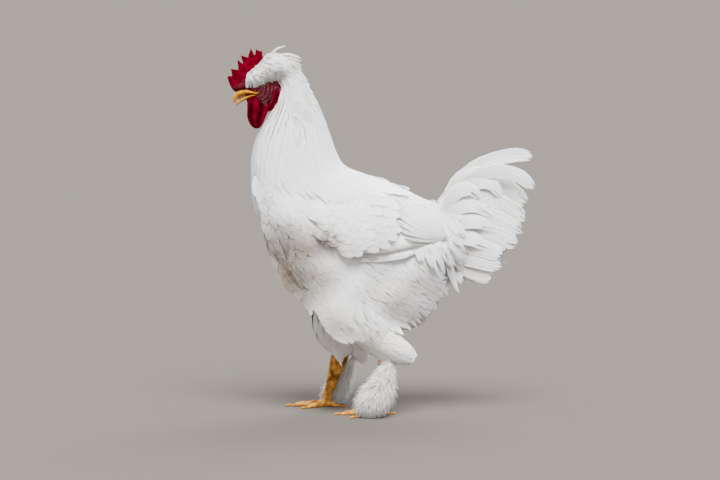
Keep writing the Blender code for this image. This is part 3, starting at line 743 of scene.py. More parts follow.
def noise(tree, where, scale, detail=3.0):
    """Cloudy noise from 0 to 1."""
    node = add_node(tree, "ShaderNodeTexNoise", Vector=where, Scale=scale, Detail=detail, Roughness=0.55)
    return node.outputs["Fac"]


def remap(tree, value, low, high, to_low=0.0, to_high=1.0):
    """A smooth rise from to_low, where the value is low, to to_high, where it is high."""
    return add_node(
        tree, "ShaderNodeMapRange", (("interpolation_type", "SMOOTHSTEP"),),
        i0=value, i1=low, i2=high, i3=to_low, i4=to_high,
    ).outputs[0]


def mix(tree, share, a, b):
    """A colour that is a at share 0 and b at share 1."""
    node = add_node(tree, "ShaderNodeMix", (("data_type", "RGBA"),), i0=share, i6=a, i7=b)
    return node.outputs[2]


def mottle(tree, place, scale, low, high, dark, light):
    """Two colours mixed by noise: dark where it is below low and light where it is above high."""
    return mix(tree, remap(tree, noise(tree, place, scale), low, high), dark, light)


def combine(tree, operation, a, b=0.0):
    """One arithmetic step."""
    return add_node(tree, "ShaderNodeMath", (("operation", operation),), i0=a, i1=b).outputs[0]


def product(tree, value, *others):
    """The values multiplied in turn."""
    for other in others:
        value = combine(tree, "MULTIPLY", value, other)
    return value


def attribute(tree, name):
    """A number that the mesh carries at each point."""
    return add_node(tree, "ShaderNodeAttribute", (("attribute_name", name),)).outputs["Fac"]


def object_place(tree):
    """The place on the object."""
    return add_node(tree, "ShaderNodeTexCoord").outputs["Object"]


def bump(tree, shader, height, distance):
    """Shades a surface as if height raised it by up to distance."""
    node = add_node(tree, "ShaderNodeBump", Height=height, Distance=distance, Strength=1.0)
    tree.links.new(node.outputs["Normal"], shader.inputs["Normal"])


# Dust and painted shade where breast meets belly.
DUST_AND_SHADE = (0.205, 0.146, 0.098, 1.0)
STAIN = (0.17, 0.10, 0.07, 1.0)
# Beige of the painted shade at the vanes' roots and over the ear, and of the crest's random strand tone.
SHADE_AND_STRAND_BEIGE = (0.42, 0.33, 0.25, 1.0)
WHITE = (0.915, 0.92, 0.93, 1.0)
CREAM = (0.80, 0.74, 0.65, 1.0)


def plumage_colour(tree):
    """White with faint clouds, creamier and painted with warm shade low down, dust and painted shade where
    breast meets belly, flecked in front, stained at the wing's bend, painted shade over the ear.
    """
    place = object_place(tree)
    parts = add_node(tree, "ShaderNodeSeparateXYZ", Vector=place)
    x, z = parts.outputs[0], parts.outputs[2]
    clouds = remap(tree, noise(tree, place, 16.0), 0.35, 0.7, 0.25, 0.9)
    # Cream that grows towards the bottom: partly the lower plumage's creamier tone, partly painted warm shade
    # and ground bounce.
    colour = mix(tree, product(tree, remap(tree, z, 0.36, 0.10), clouds), WHITE, CREAM)
    # Dust and painted shade low on the breast's front, where breast meets belly, broken up by noise.
    between = product(tree, remap(tree, z, 0.105, 0.215), remap(tree, z, 0.345, 0.275))
    uneven = remap(tree, noise(tree, place, 14.0, 2.0), 0.30, 0.70, 0.80, 0.96)
    colour = mix(tree, product(tree, between, remap(tree, x, -0.040, -0.150), uneven), colour, DUST_AND_SHADE)
    low_front = product(tree, remap(tree, x, -0.160, -0.195), remap(tree, z, 0.335, 0.29))
    flecks = remap(tree, noise(tree, place, 60.0, 2.0), 0.50, 0.60, 0.0, 0.7)
    colour = mix(tree, product(tree, low_front, flecks), colour, STAIN)

    def spot(at_x, at_z, tall, radius, share, colour, spot_colour):
        """A soft patch of another colour round a place, broken up by noise."""
        offset = add_node(tree, "ShaderNodeMapping", Vector=place)
        offset.inputs["Location"].default_value = (-at_x, 0.0, -at_z)
        away = add_node(tree, "ShaderNodeVectorMath", (("operation", "MULTIPLY"),), i0=offset.outputs[0])
        away.inputs[1].default_value = (1.0, 0.0, tall)
        far = add_node(tree, "ShaderNodeVectorMath", (("operation", "LENGTH"),), i0=away.outputs[0])
        near = remap(tree, far.outputs["Value"], radius, radius * 0.2)
        broken = remap(tree, noise(tree, place, 90.0), 0.38, 0.56, 0.0, share)
        return mix(tree, product(tree, near, broken), colour, spot_colour)

    colour = spot(-0.088, 0.292, 1.2, 0.034, 0.9, colour, STAIN)
    # Painted shade in the hollow over the ear, under the crest.
    return spot(-0.1735, 0.5480, 0.8, 0.0230, 0.75, colour, SHADE_AND_STRAND_BEIGE)


def make_plumage(name, streak, depth, shade=0.34, dark=CREAM, root=0.35):
    """Feathers: barbs run out from the shaft towards the tip, streaks run along the vane, and painted shade
    darkens each vane towards its root, where the vanes overlap.

    streak is how fine the streaks are, depth how deep they look, shade how far the vanes with the most
    tint turn to the dark colour, and root how far each root turns to the painted shade colour.
    """
    material, tree, shader = new_material(
        name, 0.62, Sheen_Weight=0.05, Sheen_Roughness=0.5, Specular_IOR_Level=0.12,
        Subsurface_Weight=0.35, Subsurface_Scale=0.004,
    )
    shader.inputs["Subsurface Radius"].default_value = (1.0, 0.88, 0.72)
    tint, share = attribute(tree, "tint"), attribute(tree, "share")
    colour = mix(tree, remap(tree, tint, 0.45, 1.0, 0.0, shade), plumage_colour(tree), dark)
    # Painted shade towards each vane's root, where the vanes overlap.
    colour = mix(tree, remap(tree, share, 0.72, 0.22, 0.0, root), colour, SHADE_AND_STRAND_BEIGE)
    vane = add_node(tree, "ShaderNodeUVMap", (("uv_map", "vane"),)).outputs["UV"]
    parts = add_node(tree, "ShaderNodeSeparateXYZ", Vector=vane)
    across, along = parts.outputs[0], parts.outputs[1]
    slant = combine(tree, "SUBTRACT", along, product(tree, combine(tree, "ABSOLUTE", across), 1.3))
    barbs = combine(tree, "SINE", product(tree, slant, 62.0))
    stretched = add_node(tree, "ShaderNodeCombineXYZ", X=product(tree, across, streak), Y=along, Z=tint)
    streaks = noise(tree, stretched.outputs[0], 1.6, 2.0)
    height = combine(tree, "ADD", product(tree, barbs, 0.12), streaks)
    colour = mix(tree, remap(tree, streaks, 0.35, 0.75, 0.0, 0.28), colour, CREAM)
    tree.links.new(colour, shader.inputs["Base Color"])
    bump(tree, shader, height, depth)
    return material


# ---------------------------------------------------------------- feathers
def scatter(form, u_range, v_range, spacing, seed):
    """Roots spread evenly over a stretch of a form, about one to each spacing squared.

    Quasi-random places are kept in proportion to the form's area there. spacing is a length or a function
    of u, v.
    """
    (u0, u1), (v0, v1) = u_range, v_range
    gap = spacing if callable(spacing) else lambda u, v: np.full_like(u, spacing)

    def weight(u, v):
        return np.linalg.norm(np.cross(*slopes(form, u, v)), axis=-1) / gap(u, v) ** 2

    u, v = np.meshgrid(np.linspace(u0, u1, 60), np.linspace(v0, v1, 60), indexing="ij")
    most = weight(u, v).max()
    count = int(most * (u1 - u0) * (v1 - v0))
    steps = np.array((0.8191725134, 0.6710436067, 0.5497004779))
    shares = (0.5 + np.random.default_rng(seed).random() + np.outer(np.arange(1, count + 1), steps)) % 1
    u, v = u0 + shares[:, 0] * (u1 - u0), v0 + shares[:, 1] * (v1 - v0)
    kept = shares[:, 2] * most < weight(u, v)
    return u[kept], v[kept]


def shingles(form, u_range, v_range, along, across, angle, seed, jitter):
    """Roots in staggered rows over a relief whose u and v are lengths. Rows run square to the angle."""
    (u0, u1), (v0, v1) = u_range, v_range
    reach = 0.6 * math.hypot(u1 - u0, v1 - v0)
    i = np.arange(-int(reach / along), int(reach / along) + 1)
    k = np.arange(-int(reach / across), int(reach / across) + 1)
    i, k = np.meshgrid(i, k, indexing="ij")
    rng = np.random.default_rng(seed)
    a = (i + rng.uniform(-jitter, jitter, i.shape)) * along
    b = (k + 0.5 * (i % 2) + rng.uniform(-jitter, jitter, i.shape)) * across
    u = (u0 + u1) / 2 + a * math.cos(angle) - b * math.sin(angle)
    v = (v0 + v1) / 2 + a * math.sin(angle) + b * math.cos(angle)
    kept = (u > u0) & (u < u1) & (v > v0) & (v < v1) & form.covers(u, v)
    return u[kept], v[kept]


def lay(form, u, v, heading, length, depth, shares, lift=0.0, fall=3.0):
    """Feather middle lines over a form. Returns the lines and their outward directions: share, feather,
    xyz.

    A line starts at a root depth inside the form. Its heading is counted from the form's length towards
    growing v, and is an angle or a function of u and v. Its height over the form is lift * share^2 - depth
    * (1 - share)^fall.
    """
    lines, ups = [], []
    length = np.broadcast_to(length, u.shape)
    for share, next_share in zip(shares, (*shares[1:], shares[-1])):
        du, dv = slopes(form, u, v)
        up = facing(form, u, v)
        height = lift * share**2 - depth * (1 - share) ** fall
        lines.append(form(u, v) + up * np.broadcast_to(height, u.shape)[..., None])
        ups.append(up)
        step = length * (next_share - share)
        angle = heading(u, v) if callable(heading) else heading
        u = u + np.cos(angle) * step / np.maximum(np.linalg.norm(du, axis=-1), 0.003)
        v = v + np.sin(angle) * step / np.maximum(np.linalg.norm(dv, axis=-1), 0.003)
    return np.array(lines), np.array(ups)


def round_vane(share):
    """Half-width of a body feather: it widens from the quill, then closes in a round tip."""
    return (0.35 + 0.65 * np.sin(np.minimum(share / 0.5, 1) * math.pi / 2)) * np.sqrt(
        1 - 0.985 * np.clip((share - 0.50) / 0.50, 0, 1) ** 2.2)


def lance_vane(share):
    """Half-width of a hackle: widest near its root third and drawn out to a point."""
    return np.maximum(1.75 * (share + 0.12) ** 0.5 * (1 - share) ** 0.72, 0.05)


def strip_vane(share):
    """Half-width of one strand of a large feather: nearly even, with a pointed tip."""
    return (0.75 + 0.25 * np.minimum(share / 0.2, 1)) * np.sqrt(
        1 - 0.99 * np.clip((share - 0.6) / 0.4, 0, 1) ** 2)


def wisp_vane(share):
    """Half-width of a loose plume: it narrows all the way to its tip."""
    return np.maximum(1 - share**1.4, 0.04)


ROUND = (0.0, 0.25, 0.5, 0.7, 0.86, 0.96, 1.0)
LANCE = (0.0, 0.18, 0.38, 0.58, 0.76, 0.9, 1.0)
SOFT = (0.0, 0.3, 0.6, 0.85, 1.0)


def grow(
        name, lines, ups, shares, half_width, vane, seed, across=3, camber=0.04, thick=0.0004, roll=0.0,
        soft=0.0):
    """Feathers as closed thin vanes along lines. Each ring runs over the top from rim to rim and back
    below.

    A point of the vane is line + side * w * a - up * camber * w * a * a, give or take thick * (1 - a * a)
    / 2, where a runs from -1 to 1 across it, with across points, and w is the half-width there. roll turns
    the vanes about their lines by random angles of about that size. Each vane's OFBake patch lies where
    its root is. With soft above 0 the vanes shade as one fluffy surface: their normals lean that far
    towards the outward ones.
    """
    rng = np.random.default_rng(seed)
    shares = np.asarray(shares)
    rings, count = lines.shape[:2]
    along = unit(np.gradient(lines, axis=0))
    up = unit(ups - along * (ups * along).sum(-1, keepdims=True))
    side = np.cross(along, up)
    turned = (rng.normal(size=count) * roll)[None, :, None]
    side, up = side * np.cos(turned) + up * np.sin(turned), up * np.cos(turned) - side * np.sin(turned)
    half = vane(shares)[:, None] * np.broadcast_to(half_width, (count,))
    over = np.linspace(-1, 1, across)
    a = np.concatenate((over, over[-2:0:-1]))
    sign = np.concatenate((np.ones(across), -np.ones(across - 2)))
    wide = half[..., None] * a
    tall = (thick / 2) * sign * (1 - a * a) - camber * half[..., None] * a * a
    points = lines[:, :, None] + side[:, :, None] * wide[..., None] + up[:, :, None] * tall[..., None]
    points = points.transpose(1, 0, 2, 3)
    ring = len(a)
    one = tube_faces(rings, ring)
    faces = (one[None] + np.arange(count)[:, None, None] * rings * ring).reshape(-1, 4)
    piece = new_piece(name, points, faces)
    mesh = piece.data
    length = np.concatenate((np.zeros((1, count)), np.linalg.norm(np.diff(lines, axis=0), axis=-1).cumsum(0)))
    down = np.broadcast_to(length.T[:, :, None], (count, rings, ring))
    sideways = wide.transpose(1, 0, 2)
    patch = np.stack((a * 0.5 + 0 * down, shares[None, :, None] - 0.5 + 0 * down), axis=-1) * PATCH
    roots = unwrap(lines[0])
    set_map(mesh, "OFBake", (roots[:, None, None] + patch).reshape(-1, 2))
    set_map(mesh, "vane", np.stack((sideways, down), axis=-1).reshape(-1, 2) * VANE_MAP)
    set_attribute(mesh, "tint", np.broadcast_to(rng.random(count)[:, None, None], down.shape))
    set_attribute(mesh, "share", np.broadcast_to(shares[None, :, None], down.shape))
    if soft:
        own = up[:, :, None] + side[:, :, None] * (2 * camber * a)[:, None]
        leaned = unit(ups[:, :, None] * soft + own * (1 - soft))
        top = np.where(np.arange(len(one)) % ring < across - 1, 1.0, -1.0)
        set_normals(mesh, leaned.transpose(1, 0, 2, 3).reshape(-1, 3), np.tile(top, count))
    mark_rims(mesh, ring, across, rings)
    return piece


def set_normals(mesh, directions, signs):
    """Gives each corner its point's direction, turned over on faces whose sign is negative."""
    corners = read_values(mesh.loops, "vertex_index", 1)[:, 0]
    layer = mesh.attributes.new("custom_normal", "FLOAT_VECTOR", "CORNER")
    turned = directions[corners] * np.repeat(signs, 4)[:, None]
    layer.data.foreach_set("vector", turned.astype(np.float32).ravel())


def mark_rims(mesh, ring, across, rings):
    """Sharp edges along both rims and round both ends of each vane, so that its top and underside shade
    apart.
    """
    ends = read_values(mesh.edges, "vertices", 2)
    row, place = (ends // ring) % rings, ends % ring
    rim = (place[:, 0] == place[:, 1]) & ((place[:, 0] == 0) | (place[:, 0] == across - 1))
    end = (row[:, 0] == row[:, 1]) & ((row[:, 0] == 0) | (row[:, 0] == rings - 1))
    layer = mesh.attributes.new("sharp_edge", "BOOLEAN", "EDGE")
    layer.data.foreach_set("value", rim | end)


def split(lines, ups, shares, half_width, vane, strands, seed, fray=0.10, rise=0.00015):
    """Large feathers cut lengthwise into strands, as lines, outward directions and the number of each
    one's feather.

    Strand a, from -1 to 1 across, keeps to a times the vane's half-width and ends early by fray, more at
    the edges.
    """
    rng = np.random.default_rng(seed)
    rings, count = lines.shape[:2]
    along = unit(np.gradient(lines, axis=0))
    side = np.cross(along, unit(ups - along * (ups * along).sum(-1, keepdims=True)))
    a = np.linspace(-0.93, 0.93, strands)[None] + rng.uniform(-0.03, 0.03, (count, strands))
    ends = 1 - fray * rng.random((count, strands)) ** 1.5 - 0.04 * a**2
    at = np.asarray(shares)[:, None, None] * ends
    row = np.interp(at, shares, np.arange(rings))
    low = np.minimum(row.astype(int), rings - 2)
    part = (row - low)[..., None]
    feather = np.arange(count)[:, None]
    middle = lines[low, feather] * (1 - part) + lines[low + 1, feather] * part
    sideways = side[low, feather] * (1 - part) + side[low + 1, feather] * part
    upward = unit(ups[low, feather] * (1 - part) + ups[low + 1, feather] * part)
    reach = vane(at) * np.reshape(half_width, (-1, 1)) * a
    height = 0.0012 * (1 - a**2) + rng.uniform(-1, 1, (count, strands)) * rise
    place = middle + sideways * reach[..., None] + upward * height[..., None]
    numbers = np.broadcast_to(feather, (count, strands)).ravel()
    return place.reshape(rings, -1, 3), upward.reshape(rings, -1, 3), numbers


def on_head(x, z):
    """Whether a place is in front of a slanting line behind the face, and no lower than the wattles."""
    return (z > 0.460) & (x < -0.172 + 0.30 * (z - 0.500))


def strip_of(points):
    """Which strip of the unwrap a place is in: 0 for the trunk, 1 for the head, 2 and 3 for the legs."""
    x, y, z = np.moveaxis(points, -1, 0)
    return np.where(z < LEG_STRIP_TOP, np.where(y < 0, 2, 3), on_head(x, z).astype(int))


def unwrap(points, first=None):
    """Places on the skin's unwrap, as turn round a middle line and length along it, with a strip for each
    part.

    The middle lines are the body's from crown to tail, the head's along the bill and a line down each leg.
    Given the number of each face's first corner, a face keeps to that corner's strip and side of the seam.
    """
    first = np.arange(len(points)) if first is None else first
    strip = strip_of(points[first])
    rows = rows_of(BODY, SPINE_POINTS)
    spine = (body_form(rows, 0 * rows) + body_form(rows, 0 * rows + math.pi)) / 2
    ahead = unit(np.gradient(spine, axis=0))
    x, y, z = points.T
    far = (x[:, None] - spine[:, 0]) ** 2 + (z[:, None] - spine[:, 2]) ** 2
    near = np.argmin(far, axis=1)
    beside = (x - spine[near, 0]) * ahead[near, 2] - (z - spine[near, 2]) * ahead[near, 0]
    turn, length = np.arctan2(y, -beside), near / (len(rows) - 1)
    along, up = into_head(points)
    turn = np.where(strip == 1, np.arctan2(y, up - 0.006), turn)
    length = np.where(strip == 1, (along - HEAD_STRIP_START) / HEAD_STRIP_LENGTH, length)
    for number, side in ((2, "left"), (3, "right")):
        top, foot = np.array(HOCK[side]), np.array(ANKLE[side])
        share = (z - foot[1]) / (top[1] - foot[1])
        middle_x = foot[0] + (top[0] - foot[0]) * share
        turn = np.where(strip == number, np.arctan2(y - SIDES[side] * foot[2], x - middle_x), turn)
        length = np.where(strip == number, z / LEG_STRIP_LENGTH, length)
    turn = turn / TURN
    turn = turn + np.round(turn[first] - turn)
    start, span, low, high = np.array(STRIPS)[strip].T
    return np.stack((start + span * np.clip(length, 0, 1), (low + high) / 2 + (high - low) * turn), axis=-1)


def down_side(v):
    """Which way v goes to get lower, where v is 0 on the back."""
    return np.where(np.sin(v) > 0, 1.0, -1.0)


def from_back(v):
    """How far v is turned from the back, either way round."""
    return np.abs((v + math.pi) % TURN - math.pi)


def side_path(numbers, sign):
    """Places given as x, z and distance out, as x, y and z on one side."""
    return np.reshape(numbers, (-1, 3))[:, (0, 2, 1)] * (1, sign, 1)


def wear(piece, material, slot, *nodes):
    """Finishes a piece: its material, the body it rides on and the solids that it stands for. slot is not
    used.
    """
    piece.data.materials.clear()
    piece.data.materials.append(material)
    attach(piece, "root")
    if nodes:
        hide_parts(*nodes)
    return piece


body = beyond(coat_form, BODY)


def make_hackle(material):
    """The cape: long lances from the crown to a line that dips over the breast and runs back over the
    shoulder.
    """
    u, v = scatter(body, (0.1, 8.4), (0, TURN), lambda u, v: 0.0030 + 0.0002 * u, 11)
    rng = np.random.default_rng(12)
    length = (0.018 + 0.052 * ease(0, 4, u)) * rng.uniform(0.85, 1.12, len(u))
    row = np.linalg.norm(slopes(body, u, v)[0], axis=-1)
    turned = from_back(v)
    edge = 5.8 + 0.3 * ease(1.8, 3.1, turned) + 2.6 * ease(1.95, 1.0, turned)
    edge = edge + rng.uniform(-0.35, 0.25, len(u))
    kept = u + length / row < edge
    u, v, length = u[kept], v[kept], length[kept]
    heading = rng.normal(size=len(u)) * 0.04
    lift = rng.uniform(-0.0003, 0.0004, len(u))
    lines, ups = lay(body, u, v, heading, length, 0.007, LANCE, lift=lift)
    half = 0.0014 + 0.0012 * ease(0, 4, u)
    piece = grow(
        "hackle", lines, ups, LANCE, half, lance_vane, 13, camber=0.04, roll=0.05, soft=0.6)
    return wear(piece, material, "plumage", "neck")


def make_body_feathers(material):
    """Round feathers down the breast and along the belly, between the two flanks."""
    u, v = scatter(body, (4.6, 13.6), (1.5, TURN - 1.5), 0.0068, 21)
    y, z = np.abs(body(u, v)[..., 1]), body(u, v)[..., 2]
    kept = (y < 0.054) | (z < 0.150) & (y < 0.056)
    u, v = u[kept], v[kept]
    rng = np.random.default_rng(22)
    length = 0.036 * rng.uniform(0.85, 1.2, len(u))
    heading = down_side(v) * -0.12 + rng.normal(size=len(u)) * 0.08
    lift = rng.uniform(-0.0003, 0.0014, len(u))
    lines, ups = lay(body, u, v, heading, length, 0.008, ROUND, lift=lift)
    half = 0.0074 * rng.uniform(0.8, 1.1, len(u))
    piece = grow(
        "breast_feathers", lines, ups, ROUND, half, round_vane, 23, camber=0.05, roll=0.05, soft=0.6)
    return wear(piece, material, "plumage", "trunk")


def make_saddle(material):
    """Long lances over the back, falling to both sides of the tail."""
    u, v = scatter(body, (6.0, 13.4), (-1.35, 1.35), 0.0048, 31)
    rng = np.random.default_rng(32)
    length = (0.040 + 0.022 * ease(7, 11, u)) * rng.uniform(0.85, 1.15, len(u))
    heading = down_side(v) * (0.10 + 0.35 * ease(9, 13, u)) + rng.normal(size=len(u)) * 0.05
    lines, ups = lay(body, u, v, heading, length, 0.007, LANCE, lift=rng.uniform(-0.0003, 0.0004, len(u)))
    half = 0.0034 * rng.uniform(0.85, 1.1, len(u))
    piece = grow(
        "saddle", lines, ups, LANCE, half, lance_vane, 33, camber=0.04, roll=0.04, soft=0.7)
    return wear(piece, material, "plumage")


def rump_swell(x, z):
    """The fluffy fullness between the wing's end and the tail, as an extra reach."""
    return 0.020 * np.exp(-(((x - 0.092) / 0.040) ** 2) - ((z - 0.262) / 0.055) ** 2)


def make_flank(side, material):
    """Rounded feathers over the side of the breast, and softer pointed ones from the wing down to the
    thigh.
    """
    def swell(x, z):
        bulge = 0.008 * np.exp(-(((x + 0.165) / 0.034) ** 2) - ((z - 0.322) / 0.034) ** 2)
        fold = -0.004 * np.exp(-(((x + 0.140) / 0.050) ** 2) - ((z - 0.262) / 0.014) ** 2)
        tufts = waves(np.stack((x, 0 * x, z), axis=-1), 0.060, 24) * 0.0028
        return bulge + fold + rump_swell(x, z) + tufts

    limbs = [(limb_form(rows[side], side), rows[side]) for rows in (THIGH, HOCK_TUFT)]
    form = side_form(side, ((body_form, BODY), *limbs), 0.015, swell)
    rng = np.random.default_rng(26)
    u, v = shingles(form, (-0.215, -0.050), (0.150, 0.400), 0.0078, 0.0088, -1.15, 21, 0.45)
    kept = (np.abs(form(u, v)[..., 1]) > 0.036) & (v < 0.392 - 0.60 * np.maximum(u + 0.165, 0))
    u, v = u[kept], v[kept]
    wander = rng.normal(size=len(u)) * 0.10

    def steep(x, z):
        return -1.25 + 0.35 * ease(-0.17, -0.06, x) + wander

    length = 0.036 * rng.uniform(0.80, 1.25, len(u))
    lift = rng.uniform(0.0000, 0.0003, len(u))
    lines, ups = lay(form, u, v, steep, length, 0.006, ROUND, lift=lift)
    half = 0.0072 * rng.uniform(0.8, 1.15, len(u))
    piece = grow(
        f"breast_side_{side}", lines, ups, ROUND, half, round_vane, 30, camber=0.03, roll=0.02, soft=0.82)
    wear(piece, material, "plumage")
    u, v = scatter(form, (-0.135, 0.108), (0.135, 0.352), 0.0064, 25)
    length = 0.042 * rng.uniform(0.75, 1.2, len(u))
    edge = -0.125 + rng.normal(size=len(u)) * 0.012 + 0.12 * ease(0.27, 0.33, v)
    kept = form.covers(u, v) & (np.abs(form(u, v)[..., 1]) > 0.034) & (v < 0.350 - rng.random(len(u)) * 0.05)
    kept &= (u > edge) & (v > 0.150 + 0.030 * ease(-0.02, 0.04, u) - 0.020 * ease(-0.06, -0.10, u))
    tip_x, tip_z = u + 0.62 * length, v - 0.78 * length
    uneven = 0.012 * rng.random(len(u)) * ease(0.26, 0.23, v)
    kept &= tip_x < 0.106 - 0.8 * np.maximum(0.198 - tip_z, 0) + uneven
    u, v, length = u[kept], v[kept], length[kept]
    clump = waves(np.stack((u, 0 * u, v), axis=-1), 0.035, 27) * 0.12
    roam = rng.normal(size=len(u)) * 0.06 + clump

    def slanted(x, z):
        return -1.10 + 0.30 * ease(-0.12, 0.0, x) - 0.25 * ease(0.05, 0.10, x) + roam

    lift = rng.uniform(-0.0003, 0.0006, len(u)) + 0.003 * ease(0.06, 0.10, u) * rng.random(len(u))
    lines, ups = lay(form, u, v, slanted, length, 0.008, LANCE, lift=lift)
    half = 0.0056 * rng.uniform(0.75, 1.15, len(u))
    piece = grow(
        f"flank_feathers_{side}", lines, ups, LANCE, half, lance_vane, 29, camber=0.03, roll=0.04, soft=0.75)
    return wear(piece, material, "plumage", f"thigh_{side}")


def make_vent_fluff(material):
    """Loose pointed plumes along the belly's rear, between the flanks, and broad soft ones under the tail.
    """
    u, v = scatter(body, (9.2, 13.9), (1.5, TURN - 1.5), 0.0060, 26)
    start = body(u, v)
    x, y, z = start.T
    kept = (np.abs(y) < 0.046) | (x > 0.055 + 0.5 * np.maximum(z - 0.190, 0))
    u, v, start = u[kept], v[kept], start[kept]
    rng = np.random.default_rng(27)
    length = 0.036 * rng.uniform(0.8, 1.2, len(u))
    heading = down_side(v) * np.where(np.abs(start[:, 1]) < 0.046, -0.1, 0.7) + rng.normal(size=len(u)) * 0.12
    lift = rng.uniform(0.0004, 0.0065, len(u)) * (0.3 + 0.7 * ease(11.0, 13.0, u))
    lines, ups = lay(body, u, v, heading, length, 0.006, LANCE, lift=lift)
    piece = grow("vent_fluff", lines, ups, LANCE, 0.0036, lance_vane, 28, camber=0.05, roll=0.15, soft=0.4)
    wear(piece, material, "plumage")
    feathers = []
    for sign in SIDES.values():
        for tip_x, tip_z, out, half_width in UNDERTAIL:
            root = np.array((0.080 + 0.25 * (tip_x - 0.108), sign * out * 0.8, tip_z + 0.050))
            tip = np.array((tip_x, sign * out, tip_z))
            path = np.array((root, (root + tip) / 2 + (0.006, sign * 0.002, 0.004), tip))
            feathers.append((path, half_width, (0.0, sign, -0.15)))
    broad = long_feathers("undertail_feathers", feathers, 13, soft_vane, 90, fray=0.22)
    return wear(broad, material, "plumage")


def make_hangers(material):
    """Long saddle lances that fall in a fan over the rump and the sides of the tail's root."""
    for side in SIDES:
        form = side_form(side, ((body_form, BODY), (ridge_form(TAIL_RIDGE), TAIL_RIDGE)), 0.012, rump_swell)
        u, v = scatter(form, (0.048, 0.160), (0.275, 0.350), 0.0086, 35)
        rng = np.random.default_rng(34)
        low = 0.335 - 0.50 * np.maximum(u - 0.055, 0) - 0.03 * rng.random(len(u))
        kept = (v < 0.352 - 0.30 * np.maximum(u - 0.090, 0)) & (v > low)
        kept &= np.abs(form(u, v)[..., 1]) > 0.020
        u, v = u[kept], v[kept]
        wander = rng.normal(size=len(u)) * 0.10

        def heading(x, z):
            return -1.30 + 0.62 * ease(0.08, 0.17, x) + wander

        length = (0.096 - 0.030 * ease(0.11, 0.16, u)) * rng.uniform(0.60, 1.06, len(u))
        lift = rng.uniform(0.0004, 0.0060, len(u))
        lines, ups = lay(form, u, v, heading, length, 0.006, LANCE, lift=lift)
        lines, ups, _ = split(lines, ups, LANCE, 0.0078, lance_vane, 6, 36, fray=0.16, rise=0.0004)
        piece = grow(
            f"saddle_hangers_{side}", lines, ups, LANCE, 0.0021, strip_vane, 37,
            camber=0.06, roll=0.06, soft=0.35)
        wear(piece, material, "plumage")


def make_shoulder(side, material):
    """Scapular feathers that run from the cape down over the wing's front and upper edge."""
    forms = ((body_form, BODY), (plate_form(WING, side), WING))
    form = side_form(side, forms, 0.008)
    u, v = scatter(form, (-0.165, 0.070), (0.285, 0.392), 0.0062, 38)
    slope = (v - 0.395) + 0.42 * (u + 0.03)
    kept = (np.abs(form(u, v)[..., 1]) > 0.034) & (slope < 0) & (v > 0.322 + 0.9 * np.maximum(-0.105 - u, 0))
    kept &= (v > 0.372 - 0.55 * np.maximum(-0.040 - u, 0)) | (u < -0.045)
    u, v = u[kept], v[kept]
    rng = np.random.default_rng(39)
    wander = rng.normal(size=len(u)) * 0.06

    def heading(x, z):
        return -0.62 - 0.25 * ease(-0.09, -0.16, x) + wander

    length = 0.034 * rng.uniform(0.85, 1.15, len(u))
    lines, ups = lay(form, u, v, heading, length, 0.006, ROUND, lift=rng.uniform(-0.0002, 0.0004, len(u)))
    piece = grow(
        f"scapulars_{side}", lines, ups, ROUND, 0.0062, round_vane, 40, camber=0.04, roll=0.03, soft=0.8)
    return wear(piece, material, "plumage")


def make_wing(side, material):
    """Coverts in staggered rows over the folded wing, down to its lower edge."""
    form = side_form(side, ((plate_form(WING, side), WING),), 0.006)
    u, v = shingles(form, (-0.118, 0.050), (0.255, 0.376), 0.0125, 0.0140, -0.62, 41, 0.2)
    rng = np.random.default_rng(42)
    length = (0.030 + 0.008 * ease(-0.08, 0.02, u)) * rng.uniform(0.92, 1.08, len(u))
    tip_x, tip_z = u + length * 0.82, v - length * 0.56
    kept = (tip_x < 0.036) & (tip_z > 0.2610 + 6.2 * np.maximum(tip_x + 0.032, 0) ** 2)
    u, v, length = u[kept], v[kept], length[kept]
    wander = rng.normal(size=len(u)) * 0.05

    def heading(x, z):
        return -0.68 + 0.22 * ease(0.31, 0.27, z) + wander

    lift = rng.uniform(0.0002, 0.0010, len(u))
    lines, ups = lay(form, u, v, heading, length, 0.004, ROUND, lift=lift)
    piece = grow(
        f"wing_coverts_{side}", lines, ups, ROUND, 0.0092, round_vane, 43, camber=0.06, roll=0.02, soft=0.55)
    return wear(piece, material, "plumage", f"wing_{side}")


def long_feathers(name, feathers, strands, vane, seed, **split_settings):
    """Large feathers along smooth curves, made of strands. Each is given as its places, half-width and
    outward way.
    """
    paths, half_width, outs = zip(*feathers)
    half_width = np.array(half_width)
    shares = np.concatenate((np.linspace(0, 0.72, 8), np.linspace(0.79, 1, 7)))
    lines = np.stack([read_line(path, shares * (len(path) - 1)) for path in paths], axis=1)
    ups = np.broadcast_to(unit(np.asarray(outs, float))[None], lines.shape)
    lines, ups, feather = split(lines, ups, shares, half_width, vane, strands, seed, **split_settings)
    half = half_width[feather] / strands * 1.75
    return grow(name, lines, ups, shares, half, strip_vane, seed + 1, camber=0.08, thick=0.0006, roll=0.05)


def make_tertials(side, material):
    """The inner quills: a combed bundle that bends down and back over the wing's end, and closes it in a
    round edge.
    """
    form = beyond(plate_form(WING, side), WING)
    u, v = scatter(form, (3.9, 7.7), (-1.9, 2.0), 0.0040, 44)
    rng = np.random.default_rng(46)
    start = form(u, v)
    length = np.minimum(0.052 * rng.uniform(0.85, 1.1, len(u)), (0.1085 - start[..., 0]) * 1.12)
    kept = (length > 0.012) & (start[..., 0] > 0.018 + 0.9 * np.maximum(0.318 - start[..., 2], 0))
    u, v, length = u[kept], v[kept], length[kept]
    wander = rng.normal(size=len(u)) * 0.03

    def heading(u, v):
        return -0.85 + 0.70 * ease(0.9, -0.9, v) + wander

    lines, ups = lay(form, u, v, heading, length, 0.005, LANCE, lift=rng.uniform(-0.0002, 0.0008, len(u)))
    piece = grow(
        f"tertials_{side}", lines, ups, LANCE, 0.0023, lance_vane, 47, camber=0.05, roll=0.12, soft=0.2)
    return wear(piece, material, "plumage")


